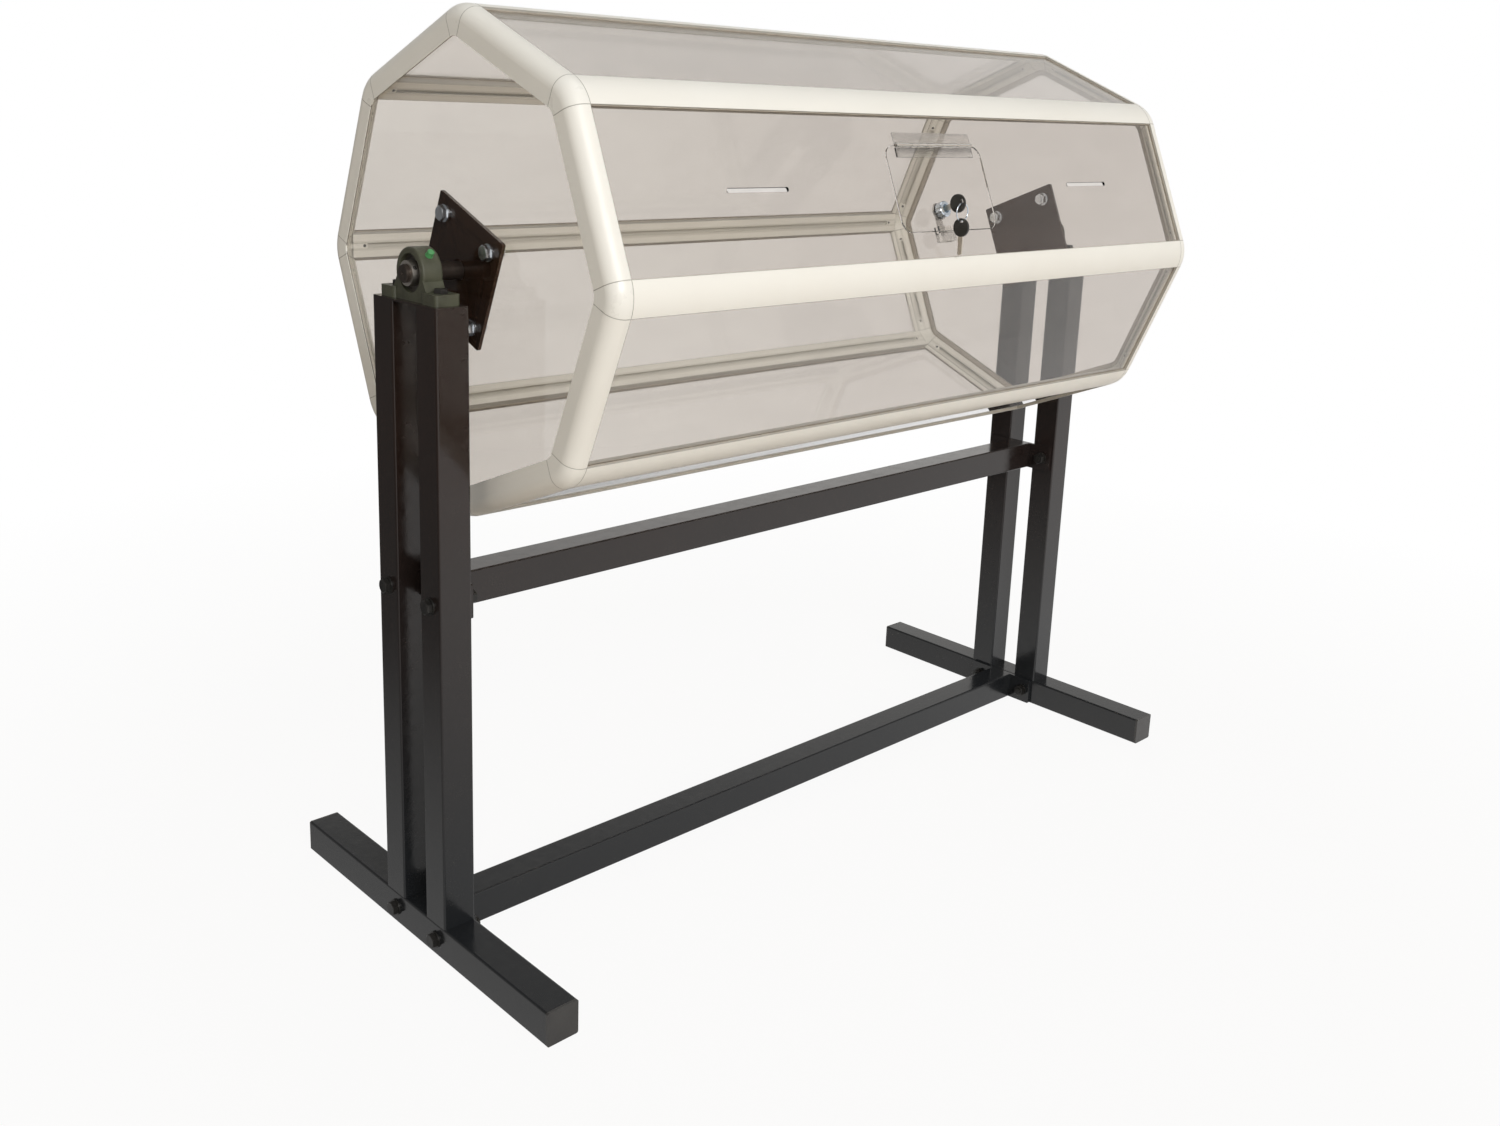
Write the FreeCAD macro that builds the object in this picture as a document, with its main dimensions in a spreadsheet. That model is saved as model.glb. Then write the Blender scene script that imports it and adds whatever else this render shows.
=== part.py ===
import FreeCAD, Part
import math
import os
import re
import Sketcher

# Raffle drum on a stand. Millimetres. X runs along the drum's axis, -Y is the front with the door,
# +Z is up. The origin is on the floor, midway between the feet.

SIZES = {
    # Stand: square tubes
    "tube_side": 50.0,
    "tube_wall": 3.0,
    "tube_corner": 3.0,
    "foot_length": 656.0,
    "foot_cap_thickness": 4.0,
    "foot_cap_plug": 12.0,
    "foot_cap_clearance": 0.2,
    "post_height": 885.0,
    "post_gap": 60.0,
    "drum_end_gap": 30.5,
    "drum_beam_gap": 67.7,
    # Stand: end flanges of the cross beams
    "flange_thickness": 6.0,
    "flange_length": 148.0,
    # M12 fasteners of the beams and the end plates
    "bolt_diameter": 12.0,
    "bolt_flats": 19.0,
    "bolt_head_height": 7.5,
    "bolt_tail": 3.0,
    "nut_height": 10.0,
    "washer_diameter": 24.0,
    "washer_thickness": 2.5,
    "hole_clearance": 0.5,
    "thread_clearance": 0.05,
    # Pillow blocks
    "seat_thickness": 3.0,
    "block_length": 140.0,
    "block_width": 38.0,
    "block_foot": 15.0,
    "block_corner": 5.0,
    "block_axis_height": 36.5,
    "block_ring_radius": 34.5,
    "block_ring_width": 30.0,
    "block_ring_edge": 2.5,
    "block_pad_length": 35.0,
    "block_web_length": 82.0,
    "block_web_rise": 13.0,
    "block_bolt_pitch": 105.0,
    "block_slot_length": 19.0,
    "block_slot_width": 13.0,
    "block_slot_flat": 0.6,
    "block_bolt_diameter": 10.0,
    "block_bolt_flats": 17.0,
    "block_bolt_head": 6.4,
    "block_bolt_tail": 12.0,
    "insert_radius": 26.0,
    "insert_width": 17.0,
    "shield_radius": 22.5,
    "shield_recess": 0.8,
    "inner_ring_radius": 17.0,
    "inner_ring_outboard": 19.8,
    "inner_ring_inboard": 14.3,
    "bearing_gap": 0.3,
    "set_screw_diameter": 6.0,
    "set_screw_inset": 4.8,
    "set_screw_sink": 0.3,
    "set_screw_socket": 3.0,
    "nipple_radius": 3.2,
    "nipple_length": 5.0,
    "nipple_cap_radius": 4.7,
    "nipple_cap_length": 9.0,
    "nipple_cap_wall": 1.4,
    "nipple_cap_round": 1.5,
    "nipple_cap_rim": 0.7,
    "nipple_cap_lift": 0.3,
    # Shafts and end plates
    "shaft_diameter": 25.0,
    "shaft_overhang": 5.5,
    "shaft_chamfer": 1.5,
    "shaft_dimple_radius": 3.0,
    "shaft_dimple_depth": 3.0,
    "plate_side": 160.0,
    "plate_thickness": 5.0,
    "plate_corner": 3.0,
    "plate_bolt_radius": 80.0,
    "shaft_hole_clearance": 2.5,
    # Drum frame
    "drum_apothem": 325.0,
    "drum_length": 1309.0,
    "rail_lip": 25.8,
    "rail_inner_width": 36.0,
    "ring_side_lip": 27.0,
    "ring_end_lip": 42.0,
    "ring_inner_lip": 32.0,
    "ring_corner_radius": 21.0,
    "ring_slot_floor": 16.0,
    "rail_slot_depth": 11.0,
    "outer_lip": 2.5,
    "inner_lip": 2.0,
    "groove_opening": 8.0,
    "groove_width": 14.0,
    "groove_depth": 6.5,
    "groove_lip": 2.0,
    "core_radius": 3.4,
    "rail_core_depth": 10.8,
    "ring_core_depth": 11.3,
    # Corner connectors
    "tongue_length": 25.0,
    "tongue_root": 9.0,
    "tongue_side_gap": 0.2,
    "tongue_recess": 0.6,
    "grub_diameter": 5.0,
    "grub_inset": 5.0,
    "grub_sink": 0.3,
    "grub_socket": 2.5,
    # Panels and gaskets
    "panel_thickness": 4.0,
    "gasket_thickness": 0.8,
    "gasket_show": 1.0,
    "slot_length": 112.0,
    "slot_height": 6.6,
    "slot_round": 2.8,
    "slot_offset": 381.0,
    # Door flap
    "door_width": 220.0,
    "door_height": 130.0,
    "door_drop": 2.5,
    "door_corner": 18.0,
    "door_gap": 0.8,
    # Strip hinge
    "hinge_length": 177.0,
    "hinge_fixed_leaf": 15.5,
    "hinge_moving_leaf": 14.5,
    "hinge_leaf_thickness": 2.2,
    "hinge_barrel_radius": 3.0,
    "hinge_barrel_rise": 0.4,
    "hinge_barrel_gap": 0.5,
    "hinge_pin_radius": 1.2,
    "hinge_pin_clearance": 0.05,
    # Cam lock
    "lock_drop": 37.0,
    "lock_offset": 18.0,
    "lock_head_radius": 12.0,
    "lock_head_height": 10.5,
    "lock_head_chamfer": 1.2,
    "lock_thread_radius": 9.0,
    "lock_hole_clearance": 0.2,
    "lock_nut_flats": 24.0,
    "lock_nut_height": 4.0,
    "lock_floor": 1.2,
    "plug_radius": 6.5,
    "plug_clearance": 0.05,
    "plug_sink": 0.5,
    "plug_tang_radius": 4.0,
    "cam_thickness": 2.0,
    "cam_width": 13.0,
    "cam_corner": 3.0,
    "cam_reach": 28.0,
    "cam_gap": 0.4,
    "catch_offset": 10.5,
    "catch_width": 35.0,
    "catch_height": 23.0,
    "catch_overlap": 8.0,
    "catch_thickness": 10.0,
    "catch_relief": 0.5,
    "catch_slot_depth": 10.0,
    "catch_slot_clearance": 1.0,
    # Keys
    "bow_radius": 13.5,
    "bow_thickness": 3.2,
    "bow_slot_length": 7.6,
    "bow_slot_width": 3.4,
    "bow_slot_corner": 1.2,
    "bow_hole_offset": 9.0,
    "blade_length": 27.0,
    "blade_width": 8.0,
    "blade_thickness": 2.0,
    "blade_tang": 8.0,
    "blade_tip": 2.5,
    "key_insertion": 17.0,
    "key_slot_clearance": 0.1,
    "key_ring_radius": 13.0,
    "key_wire_radius": 0.9,
    "key_ring_gap": 0.4,
}

SIDES = 8
STEP_ANGLE = 360.0 / SIDES
HALF_ANGLE = STEP_ANGLE / 2.0

AXIS_X = FreeCAD.Vector(1, 0, 0)
AXIS_Y = FreeCAD.Vector(0, 1, 0)
AXIS_Z = FreeCAD.Vector(0, 0, 1)
UNTURNED = FreeCAD.Rotation()
HALF_TURN = FreeCAD.Rotation(AXIS_Z, 180)
Z_TO_MINUS_X = FreeCAD.Rotation(AXIS_Y, -90)
Z_TO_PLUS_X = FreeCAD.Rotation(AXIS_Y, 90)
QUARTER = 90
DIAGONAL = 45
PLATE_CORNERS = 4
NIPPLE_LEAN = 45
SET_SCREW_ANGLES = (60, -60)
HEX_SIDES = 6
HEX_CHAMFER_START = 0.475
HEX_CHAMFER_SLOPE = 1.732

doc = FreeCAD.newDocument("RaffleDrum")
sheet = doc.addObject("Spreadsheet::Sheet", "Sizes")
for row, (alias, number) in enumerate(SIZES.items(), start=1):
    sheet.set(f"A{row}", alias)
    sheet.set(f"B{row}", str(number))
    sheet.setAlias(f"B{row}", alias)
doc.recompute()

NODES = []


# ---------------------------------------------------------------- expressions and placing

def bound(text):
    """Expression text in which each size name points at its cell."""
    def cell(match):
        word = match.group(0)
        return f"Sizes.{word}" if word in SIZES else word
    return re.sub(r"[a-z]+(?:_[a-z]+)*", cell, text)


def value(text):
    """The number that an expression gives now."""
    result = sheet.evalExpression(bound(text))
    return float(getattr(result, "Value", result))


def bind(item, target, text):
    item.setExpression(target, bound(text))


def put(item, x, y, z, rotation=UNTURNED):
    """Place an object: a fixed rotation, and a base that follows the sizes."""
    item.Placement = FreeCAD.Placement(FreeCAD.Vector(value(x), value(y), value(z)), rotation)
    bind(item, "Placement.Base.x", x)
    bind(item, "Placement.Base.y", y)
    bind(item, "Placement.Base.z", z)
    return item


def node(item, label):
    """Hand an object in as a sub-part under its own name."""
    item.Label = label
    NODES.append(item)
    return item


def copies(name, source, places):
    """One compound that holds the source at every place, each as a solid of its own."""
    links = []
    for number, place in enumerate(places):
        link = doc.addObject("App::Link", f"{name}_copy_{number}")
        link.LinkedObject = source
        link.LinkTransform = True
        put(link, *place)
        links.append(link)
    group = doc.addObject("Part::Compound", name)
    group.Links = links
    return group


def copies_node(label, source, places):
    return node(copies(f"{label}_group", source, places), label)


def other_end(place):
    """The same place at the other end of the machine: half a turn about the vertical."""
    x, y, z = place[:3]
    rotation = place[3] if len(place) > 3 else UNTURNED
    return (f"-({x})", f"-({y})", z, HALF_TURN.multiply(rotation))


def both_ends(places):
    return places + [other_end(place) for place in places]


def about_drum(angle, end="left"):
    """Turn a piece that is modelled in the drum's own frame, and lift it to the axis."""
    turned = ("0", "0", DRUM_AXIS, FreeCAD.Rotation(AXIS_X, angle))
    return turned if end == "left" else other_end(turned)


# ---------------------------------------------------------------- sketches and features

def new_body(name):
    return doc.addObject("PartDesign::Body", name)


def new_sketch(body, role, x="0", y="0", z="0"):
    """A sketch on one of the body's origin planes, moved by x, y and z in the plane's frame."""
    sketch = body.newObject("Sketcher::SketchObject", f"{body.Name}_sketch")
    planes = [item for item in body.Origin.OriginFeatures if item.Role == role]
    sketch.AttachmentSupport = (planes[0], [""])
    sketch.MapMode = "FlatFace"
    bind(sketch, "AttachmentOffset.Base.x", x)
    bind(sketch, "AttachmentOffset.Base.y", y)
    bind(sketch, "AttachmentOffset.Base.z", z)
    return sketch


def pin_point(sketch, edge, end, x, y):
    """Fix one point of an edge at x and y from the sketch's origin."""
    for kind, text in (("DistanceX", x), ("DistanceY", y)):
        number = sketch.addConstraint(Sketcher.Constraint(kind, -1, 1, edge, end, value(text)))
        bind(sketch, f"Constraints[{number}]", text)


def arc_between(start, stop, radius):
    """The counter-clockwise arc of a given radius from start to stop."""
    chord = stop - start
    middle = start + chord * 0.5
    inward = FreeCAD.Vector(-chord.y, chord.x, 0).normalize()
    rise = math.sqrt(max(radius ** 2 - (chord.Length / 2.0) ** 2, 0.0))
    centre = middle + inward * rise
    first = math.atan2(start.y - centre.y, start.x - centre.x)
    last = math.atan2(stop.y - centre.y, stop.x - centre.x)
    return Part.ArcOfCircle(Part.Circle(centre, AXIS_Z, radius), first, last)


def outline(sketch, corners, arcs=None):
    """A closed outline through the corners, counter-clockwise. arcs gives the radius of an edge."""
    arcs = arcs or {}
    points = [FreeCAD.Vector(value(x), value(y), 0) for x, y in corners]
    first = sketch.GeometryCount
    count = len(points)
    for number, start in enumerate(points):
        stop = points[(number + 1) % count]
        if number in arcs:
            edge = arc_between(start, stop, value(arcs[number]))
        else:
            edge = Part.LineSegment(start, stop)
        sketch.addGeometry(edge, False)
    for number in range(count):
        following = first + (number + 1) % count
        sketch.addConstraint(Sketcher.Constraint("Coincident", first + number, 2, following, 1))
    for number, (x, y) in enumerate(corners):
        pin_point(sketch, first + number, 1, x, y)
    for number, text in arcs.items():
        radius = Sketcher.Constraint("Radius", first + number, value(text))
        bind(sketch, f"Constraints[{sketch.addConstraint(radius)}]", text)


def circle(sketch, x, y, radius):
    centre = FreeCAD.Vector(value(x), value(y), 0)
    edge = sketch.addGeometry(Part.Circle(centre, AXIS_Z, value(radius)), False)
    pin_point(sketch, edge, 3, x, y)
    number = sketch.addConstraint(Sketcher.Constraint("Radius", edge, value(radius)))
    bind(sketch, f"Constraints[{number}]", radius)


def rectangle(sketch, left, low, right, high):
    outline(sketch, [(left, low), (right, low), (right, high), (left, high)])


def rounded_rectangle(sketch, left, low, right, high, radius):
    corners = [
        (f"{left} + {radius}", low),
        (f"{right} - {radius}", low),
        (right, f"{low} + {radius}"),
        (right, f"{high} - {radius}"),
        (f"{right} - {radius}", high),
        (f"{left} + {radius}", high),
        (left, f"{high} - {radius}"),
        (left, f"{low} + {radius}"),
    ]
    outline(sketch, corners, {1: radius, 3: radius, 5: radius, 7: radius})


def rounded_octagon(sketch, apothem, radius):
    """An octagon with flats facing 22.5 degrees off the axes and corners of the given radius."""
    corners = []
    for side in range(SIDES):
        facing = HALF_ANGLE + side * STEP_ANGLE
        run = f"(({apothem}) - ({radius})) * tan({HALF_ANGLE})"
        for sign in ("-", "+"):
            along = "1" if sign == "+" else "-1"
            x = f"({apothem}) * cos({facing}) - ({along}) * {run} * sin({facing})"
            y = f"({apothem}) * sin({facing}) + ({along}) * {run} * cos({facing})"
            corners.append((x, y))
    arcs = {2 * side + 1: radius for side in range(SIDES)}
    outline(sketch, corners, arcs)


def pad(body, sketch, length, midplane=False, reverse=False):
    feature = body.newObject("PartDesign::Pad", f"{body.Name}_pad")
    feature.Profile = sketch
    bind(feature, "Length", length)
    feature.Midplane = midplane
    feature.Reversed = reverse
    body.Tip = feature
    return feature


def cut_through(body, sketch):
    """A pocket through everything, both ways from its sketch."""
    doc.recompute()
    before = body.Shape.Volume
    feature = body.newObject("PartDesign::Pocket", f"{body.Name}_pocket")
    feature.Profile = sketch
    feature.Type = "ThroughAll"
    feature.Midplane = True
    body.Tip = feature
    doc.recompute()
    if body.Shape.Volume >= before:
        raise RuntimeError(f"{body.Name}: a through cut took nothing away")
    return feature


def cut_deep(body, sketch, length, midplane=False, reverse=False):
    """A pocket of a set depth."""
    doc.recompute()
    before = body.Shape.Volume
    feature = body.newObject("PartDesign::Pocket", f"{body.Name}_pocket")
    feature.Profile = sketch
    feature.Type = "Length"
    bind(feature, "Length", length)
    feature.Midplane = midplane
    feature.Reversed = reverse
    body.Tip = feature
    doc.recompute()
    if body.Shape.Volume >= before:
        raise RuntimeError(f"{body.Name}: a cut took nothing away")
    return feature


def revolve(body, sketch, axis, angle=360.0, midplane=False):
    feature = body.newObject("PartDesign::Revolution", f"{body.Name}_revolution")
    feature.Profile = sketch
    feature.ReferenceAxis = (sketch, [axis])
    feature.Angle = angle
    feature.Midplane = midplane
    body.Tip = feature
    return feature


def round_edges(body, chosen, radius):
    """Fillet the edges of the body's present shape for which chosen is true."""
    doc.recompute()
    base = body.Tip
    names = [f"Edge{i}" for i, edge in enumerate(base.Shape.Edges, start=1) if chosen(edge)]
    feature = body.newObject("PartDesign::Fillet", f"{body.Name}_fillet")
    feature.Base = (base, names)
    bind(feature, "Radius", radius)
    body.Tip = feature
    doc.recompute()
    return feature


# ---------------------------------------------------------------- primitives

def box(name, length, width, height, x="0", y="0", z="0", rotation=UNTURNED):
    item = doc.addObject("Part::Box", name)
    bind(item, "Length", length)
    bind(item, "Width", width)
    bind(item, "Height", height)
    return put(item, x, y, z, rotation)


def cylinder(name, radius, height, x="0", y="0", z="0", rotation=UNTURNED):
    item = doc.addObject("Part::Cylinder", name)
    bind(item, "Radius", radius)
    bind(item, "Height", height)
    return put(item, x, y, z, rotation)


def hexagon(name, flats, height, z="0"):
    item = doc.addObject("Part::Prism", name)
    item.Polygon = HEX_SIDES
    bind(item, "Circumradius", f"({flats}) / 2 / cos(30)")
    bind(item, "Height", height)
    return put(item, "0", "0", z)


def minus(name, base, tool):
    item = doc.addObject("Part::Cut", name)
    item.Base = base
    item.Tool = tool
    return item


def plus(name, pieces):
    item = doc.addObject("Part::MultiFuse", name)
    item.Shapes = pieces
    item.Refine = True
    return item


def shared(name, first, second):
    item = doc.addObject("Part::Common", name)
    item.Base = first
    item.Tool = second
    return item


def chamfered_hexagon(name, flats, height):
    """A hexagonal head or nut from z = 0 upwards, its upper corners cut back at 30 degrees."""
    prism = hexagon(f"{name}_prism", flats, height)
    cone = doc.addObject("Part::Cone", f"{name}_cone")
    bind(cone, "Radius2", f"({flats}) * {HEX_CHAMFER_START}")
    bind(cone, "Radius1", f"({flats}) * {HEX_CHAMFER_START} + ({height}) * {HEX_CHAMFER_SLOPE}")
    bind(cone, "Height", height)
    return shared(name, prism, cone)


def hex_bolt(name, diameter, flats, head, length):
    """A bolt with its head above z = 0 and its shank below."""
    top = chamfered_hexagon(f"{name}_head", flats, head)
    reach = f"({length}) + ({head}) / 2"
    shank = cylinder(f"{name}_shank", f"({diameter}) / 2", reach, z=f"-({length})")
    return plus(name, [top, shank])


def hex_nut(name, diameter, flats, height):
    blank = chamfered_hexagon(f"{name}_blank", flats, height)
    radius = f"({diameter}) / 2 + thread_clearance"
    bore = cylinder(f"{name}_bore", radius, f"3 * ({height})", z=f"-({height})")
    return minus(name, blank, bore)


def washer(name, outer, inner, thickness):
    disc = cylinder(f"{name}_disc", f"({outer}) / 2", thickness)
    radius = f"({inner}) / 2 + hole_clearance"
    bore = cylinder(f"{name}_bore", radius, f"3 * ({thickness})", z=f"-({thickness})")
    return minus(name, disc, bore)


def grub_screw(name, radius, length, socket):
    """A headless screw from z = 0 down to -length, with a hexagon socket half way down."""
    blank = cylinder(f"{name}_blank", radius, length, z=f"-({length})")
    recess = hexagon(f"{name}_recess", socket, length, z=f"-({length}) / 2")
    return minus(name, blank, recess)


# ---------------------------------------------------------------- derived places

HALF = "(drum_length / 2)"
VERTEX = f"(drum_apothem / cos({HALF_ANGLE}))"
DRUM_AXIS = "(tube_side + post_height + seat_thickness + block_axis_height)"
INNER_FACE = f"({HALF} + drum_end_gap)"
OUTER_FACE = f"({INNER_FACE} + tube_side)"
POST_X = f"({INNER_FACE} + tube_side / 2)"
POST_Y = "((post_gap + tube_side) / 2)"
FOOT_BOLT_Z = "(tube_side / 2)"
BEAM_BOLT_Z = f"({DRUM_AXIS} - {VERTEX} - drum_beam_gap - tube_side / 2)"
BOLT_HOLE = "(bolt_diameter / 2 + hole_clearance)"

SLOT = "(panel_thickness + 2 * gasket_thickness)"
SLOT_INNER = f"(outer_lip + {SLOT})"
LIPS_DEPTH = f"({SLOT_INNER} + inner_lip)"
SIDE_HALF = f"(drum_apothem * tan({HALF_ANGLE}))"
CORNER_RADIUS = f"(rail_lip / tan({HALF_ANGLE}))"
CORNER_CENTRE = f"((drum_apothem - {CORNER_RADIUS}) / cos({HALF_ANGLE}))"
SEAM_HALF = f"({SIDE_HALF} - rail_lip)"
COS = f"cos({HALF_ANGLE})"
SIN = f"sin({HALF_ANGLE})"

PANEL_OUTER = "(drum_apothem - outer_lip - gasket_thickness)"
PANEL_INNER = f"({PANEL_OUTER} - panel_thickness)"
END_PANEL_OUTER = f"({HALF} - outer_lip - gasket_thickness)"
PLATE_OUTER = f"({END_PANEL_OUTER} - panel_thickness)"
PLATE_INNER = f"({PLATE_OUTER} - plate_thickness)"
SHAFT_END = f"({POST_X} + inner_ring_outboard + shaft_overhang)"

FRONT_PANEL_TURN = HALF_ANGLE + STEP_ANGLE
PLATE_TURN = HALF_ANGLE
ON_FRONT_PANEL = ("0", "0", DRUM_AXIS, FreeCAD.Rotation(AXIS_X, FRONT_PANEL_TURN))


# ---------------------------------------------------------------- stand

def square_tube(name, plane, length, midplane):
    """A square tube along the normal of the given origin plane."""
    body = new_body(name)
    sketch = new_sketch(body, plane)
    half = "tube_side / 2"
    rounded_rectangle(sketch, f"-{half}", f"-{half}", half, half, "tube_corner")
    bore = "(tube_side / 2 - tube_wall)"
    rectangle(sketch, f"-{bore}", f"-{bore}", bore, bore)
    pad(body, sketch, length, midplane)
    return body


def holes_along_x(body, places):
    """Bolt holes through a body, along X, at places (y, z) in its frame."""
    sketch = new_sketch(body, "YZ_Plane")
    for y, z in places:
        circle(sketch, y, z, BOLT_HOLE)
    cut_through(body, sketch)


def build_feet():
    foot = square_tube("foot_tube", "XZ_Plane", "foot_length - 2 * foot_cap_thickness", True)
    holes_along_x(foot, [(f"-{POST_Y}", "0"), (POST_Y, "0")])
    left = (f"-{POST_X}", "0", "tube_side / 2")
    copies_node("foot_left", foot, [left])
    copies_node("foot_right", foot, [other_end(left)])

    cap = new_body("foot_cap")
    face = new_sketch(cap, "XZ_Plane")
    half = "tube_side / 2"
    rounded_rectangle(face, f"-{half}", f"-{half}", half, half, "tube_corner")
    pad(cap, face, "foot_cap_thickness")
    plug = new_sketch(cap, "XZ_Plane")
    snug = "(tube_side / 2 - tube_wall - foot_cap_clearance)"
    rectangle(plug, f"-{snug}", f"-{snug}", snug, snug)
    pad(cap, plug, "foot_cap_plug", reverse=True)
    mouth = "(foot_length / 2 - foot_cap_thickness)"
    front = (f"-{POST_X}", f"-{mouth}", "tube_side / 2")
    back = (f"-{POST_X}", mouth, "tube_side / 2", HALF_TURN)
    copies_node("foot_end_caps", cap, both_ends([front, back]))


def build_posts():
    post = square_tube("post_tube", "XY_Plane", "post_height", False)
    holes_along_x(post, [("0", f"{BEAM_BOLT_Z} - tube_side")])
    front = (f"-{POST_X}", f"-{POST_Y}", "tube_side")
    back = (f"-{POST_X}", POST_Y, "tube_side")
    copies_node("post_left_front", post, [front])
    copies_node("post_left_back", post, [back])
    copies_node("post_right_front", post, [other_end(back)])
    copies_node("post_right_back", post, [other_end(front)])


def build_beams():
    length = f"2 * ({INNER_FACE} - flange_thickness)"
    beam = square_tube("beam_tube", "YZ_Plane", length, True)
    copies_node("lower_beam", beam, [("0", "0", FOOT_BOLT_Z)])
    copies_node("upper_beam", beam, [("0", "0", BEAM_BOLT_Z)])

    flange = new_body("flange_plate")
    sketch = new_sketch(flange, "YZ_Plane")
    rounded_rectangle(
        sketch, "-flange_length / 2", "-tube_side / 2", "flange_length / 2", "tube_side / 2", "tube_corner"
    )
    circle(sketch, f"-{POST_Y}", "0", BOLT_HOLE)
    circle(sketch, POST_Y, "0", BOLT_HOLE)
    pad(flange, sketch, "flange_thickness")
    places = [(f"-{INNER_FACE}", "0", FOOT_BOLT_Z), (f"-{INNER_FACE}", "0", BEAM_BOLT_Z)]
    copies_node("beam_flanges", flange, both_ends(places))

    grip = "(2 * washer_thickness + tube_side + flange_thickness)"
    bolt = hex_bolt(
        "beam_bolt", "bolt_diameter", "bolt_flats", "bolt_head_height", f"{grip} + nut_height + bolt_tail"
    )
    spots = [(y, z) for z in (FOOT_BOLT_Z, BEAM_BOLT_Z) for y in (f"-{POST_Y}", POST_Y)]
    outside = f"-({OUTER_FACE} + washer_thickness)"
    bolts = [(outside, y, z, Z_TO_MINUS_X) for y, z in spots]
    copies_node("beam_bolts", bolt, both_ends(bolts))

    inside = f"-({INNER_FACE} - flange_thickness)"
    outer_washers = [(f"-{OUTER_FACE}", y, z, Z_TO_MINUS_X) for y, z in spots]
    inner_washers = [(inside, y, z, Z_TO_PLUS_X) for y, z in spots]
    copies_node("beam_washers", WASHER, both_ends(outer_washers + inner_washers))
    behind = f"{inside} + washer_thickness"
    nuts = [(behind, y, z, Z_TO_PLUS_X) for y, z in spots]
    copies_node("beam_nuts", NUT, both_ends(nuts))


# ---------------------------------------------------------------- pillow blocks

def build_block_seats():
    """Cap plate across each pair of posts, tapped for the block's two bolts."""
    seat = new_body("seat_plate")
    sketch = new_sketch(seat, "XY_Plane")
    reach = f"({POST_Y} + tube_side / 2)"
    rounded_rectangle(sketch, "-tube_side / 2", f"-{reach}", "tube_side / 2", reach, "tube_corner")
    for sign in ("-", ""):
        circle(sketch, "0", f"{sign}block_bolt_pitch / 2", "block_bolt_diameter / 2 + thread_clearance")
    pad(seat, sketch, "seat_thickness")
    copies_node("bearing_seats", seat, both_ends([(f"-{POST_X}", "0", "tube_side + post_height")]))


def build_housings():
    """Cast pillow block: two pads, a web between them, and a ring with a bore for the insert."""
    block = new_body("pillow_block")
    waist = new_sketch(block, "XY_Plane")
    inner_end = "(block_length / 2 - block_pad_length)"
    overlap = f"({inner_end} + block_corner)"
    rectangle(waist, "-block_ring_width / 2", f"-{overlap}", "block_ring_width / 2", overlap)
    pad(block, waist, "block_foot")
    plan = new_sketch(block, "XY_Plane")
    for low, high in (("-block_length / 2", f"-{inner_end}"), (inner_end, "block_length / 2")):
        rounded_rectangle(plan, "-block_width / 2", low, "block_width / 2", high, "block_corner")
    pad(block, plan, "block_foot")

    web = new_sketch(block, "YZ_Plane")
    shoulder = "(block_foot + block_web_rise)"
    half_top = f"sqrt(block_ring_radius ^ 2 - (block_axis_height - {shoulder}) ^ 2)"
    foot_level = "block_foot / 2"
    outline(web, [
        ("-block_web_length / 2", foot_level),
        ("block_web_length / 2", foot_level),
        ("block_web_length / 2", "block_foot"),
        (half_top, shoulder),
        (f"-{half_top}", shoulder),
        ("-block_web_length / 2", "block_foot"),
    ])
    pad(block, web, "block_ring_width", midplane=True)

    ring = new_sketch(block, "YZ_Plane")
    circle(ring, "0", "block_axis_height", "block_ring_radius")
    pad(block, ring, "block_ring_width", midplane=True)
    crown = value("block_axis_height + block_ring_radius / 2")
    radius = value("block_ring_radius")

    def on_crown(edge):
        curve = edge.Curve
        return isinstance(curve, Part.Circle) and curve.Radius == radius and edge.BoundBox.ZMax > crown
    round_edges(block, on_crown, "block_ring_edge")

    bore = new_sketch(block, "YZ_Plane")
    circle(bore, "0", "block_axis_height", "insert_radius")
    cut_through(block, bore)
    slots = new_sketch(block, "XY_Plane")
    for centre in ("-block_bolt_pitch / 2", "block_bolt_pitch / 2"):
        rounded_rectangle(
            slots,
            "-block_slot_width / 2",
            f"{centre} - block_slot_length / 2",
            "block_slot_width / 2",
            f"{centre} + block_slot_length / 2",
            "(block_slot_width / 2 - block_slot_flat)",
        )
    cut_deep(block, slots, "block_foot", reverse=True)

    left = (f"-{POST_X}", "0", "tube_side + post_height + seat_thickness")
    copies_node("bearing_housing_left", block, [left])
    copies_node("bearing_housing_right", block, [other_end(left)])

    bolt = hex_bolt(
        "block_bolt",
        "block_bolt_diameter",
        "block_bolt_flats",
        "block_bolt_head",
        "block_foot + seat_thickness + block_bolt_tail",
    )
    level = "tube_side + post_height + seat_thickness + block_foot"
    bolts = [(f"-{POST_X}", f"{sign}block_bolt_pitch / 2", level) for sign in ("-", "")]
    copies_node("bearing_bolts", bolt, both_ends(bolts))


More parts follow.
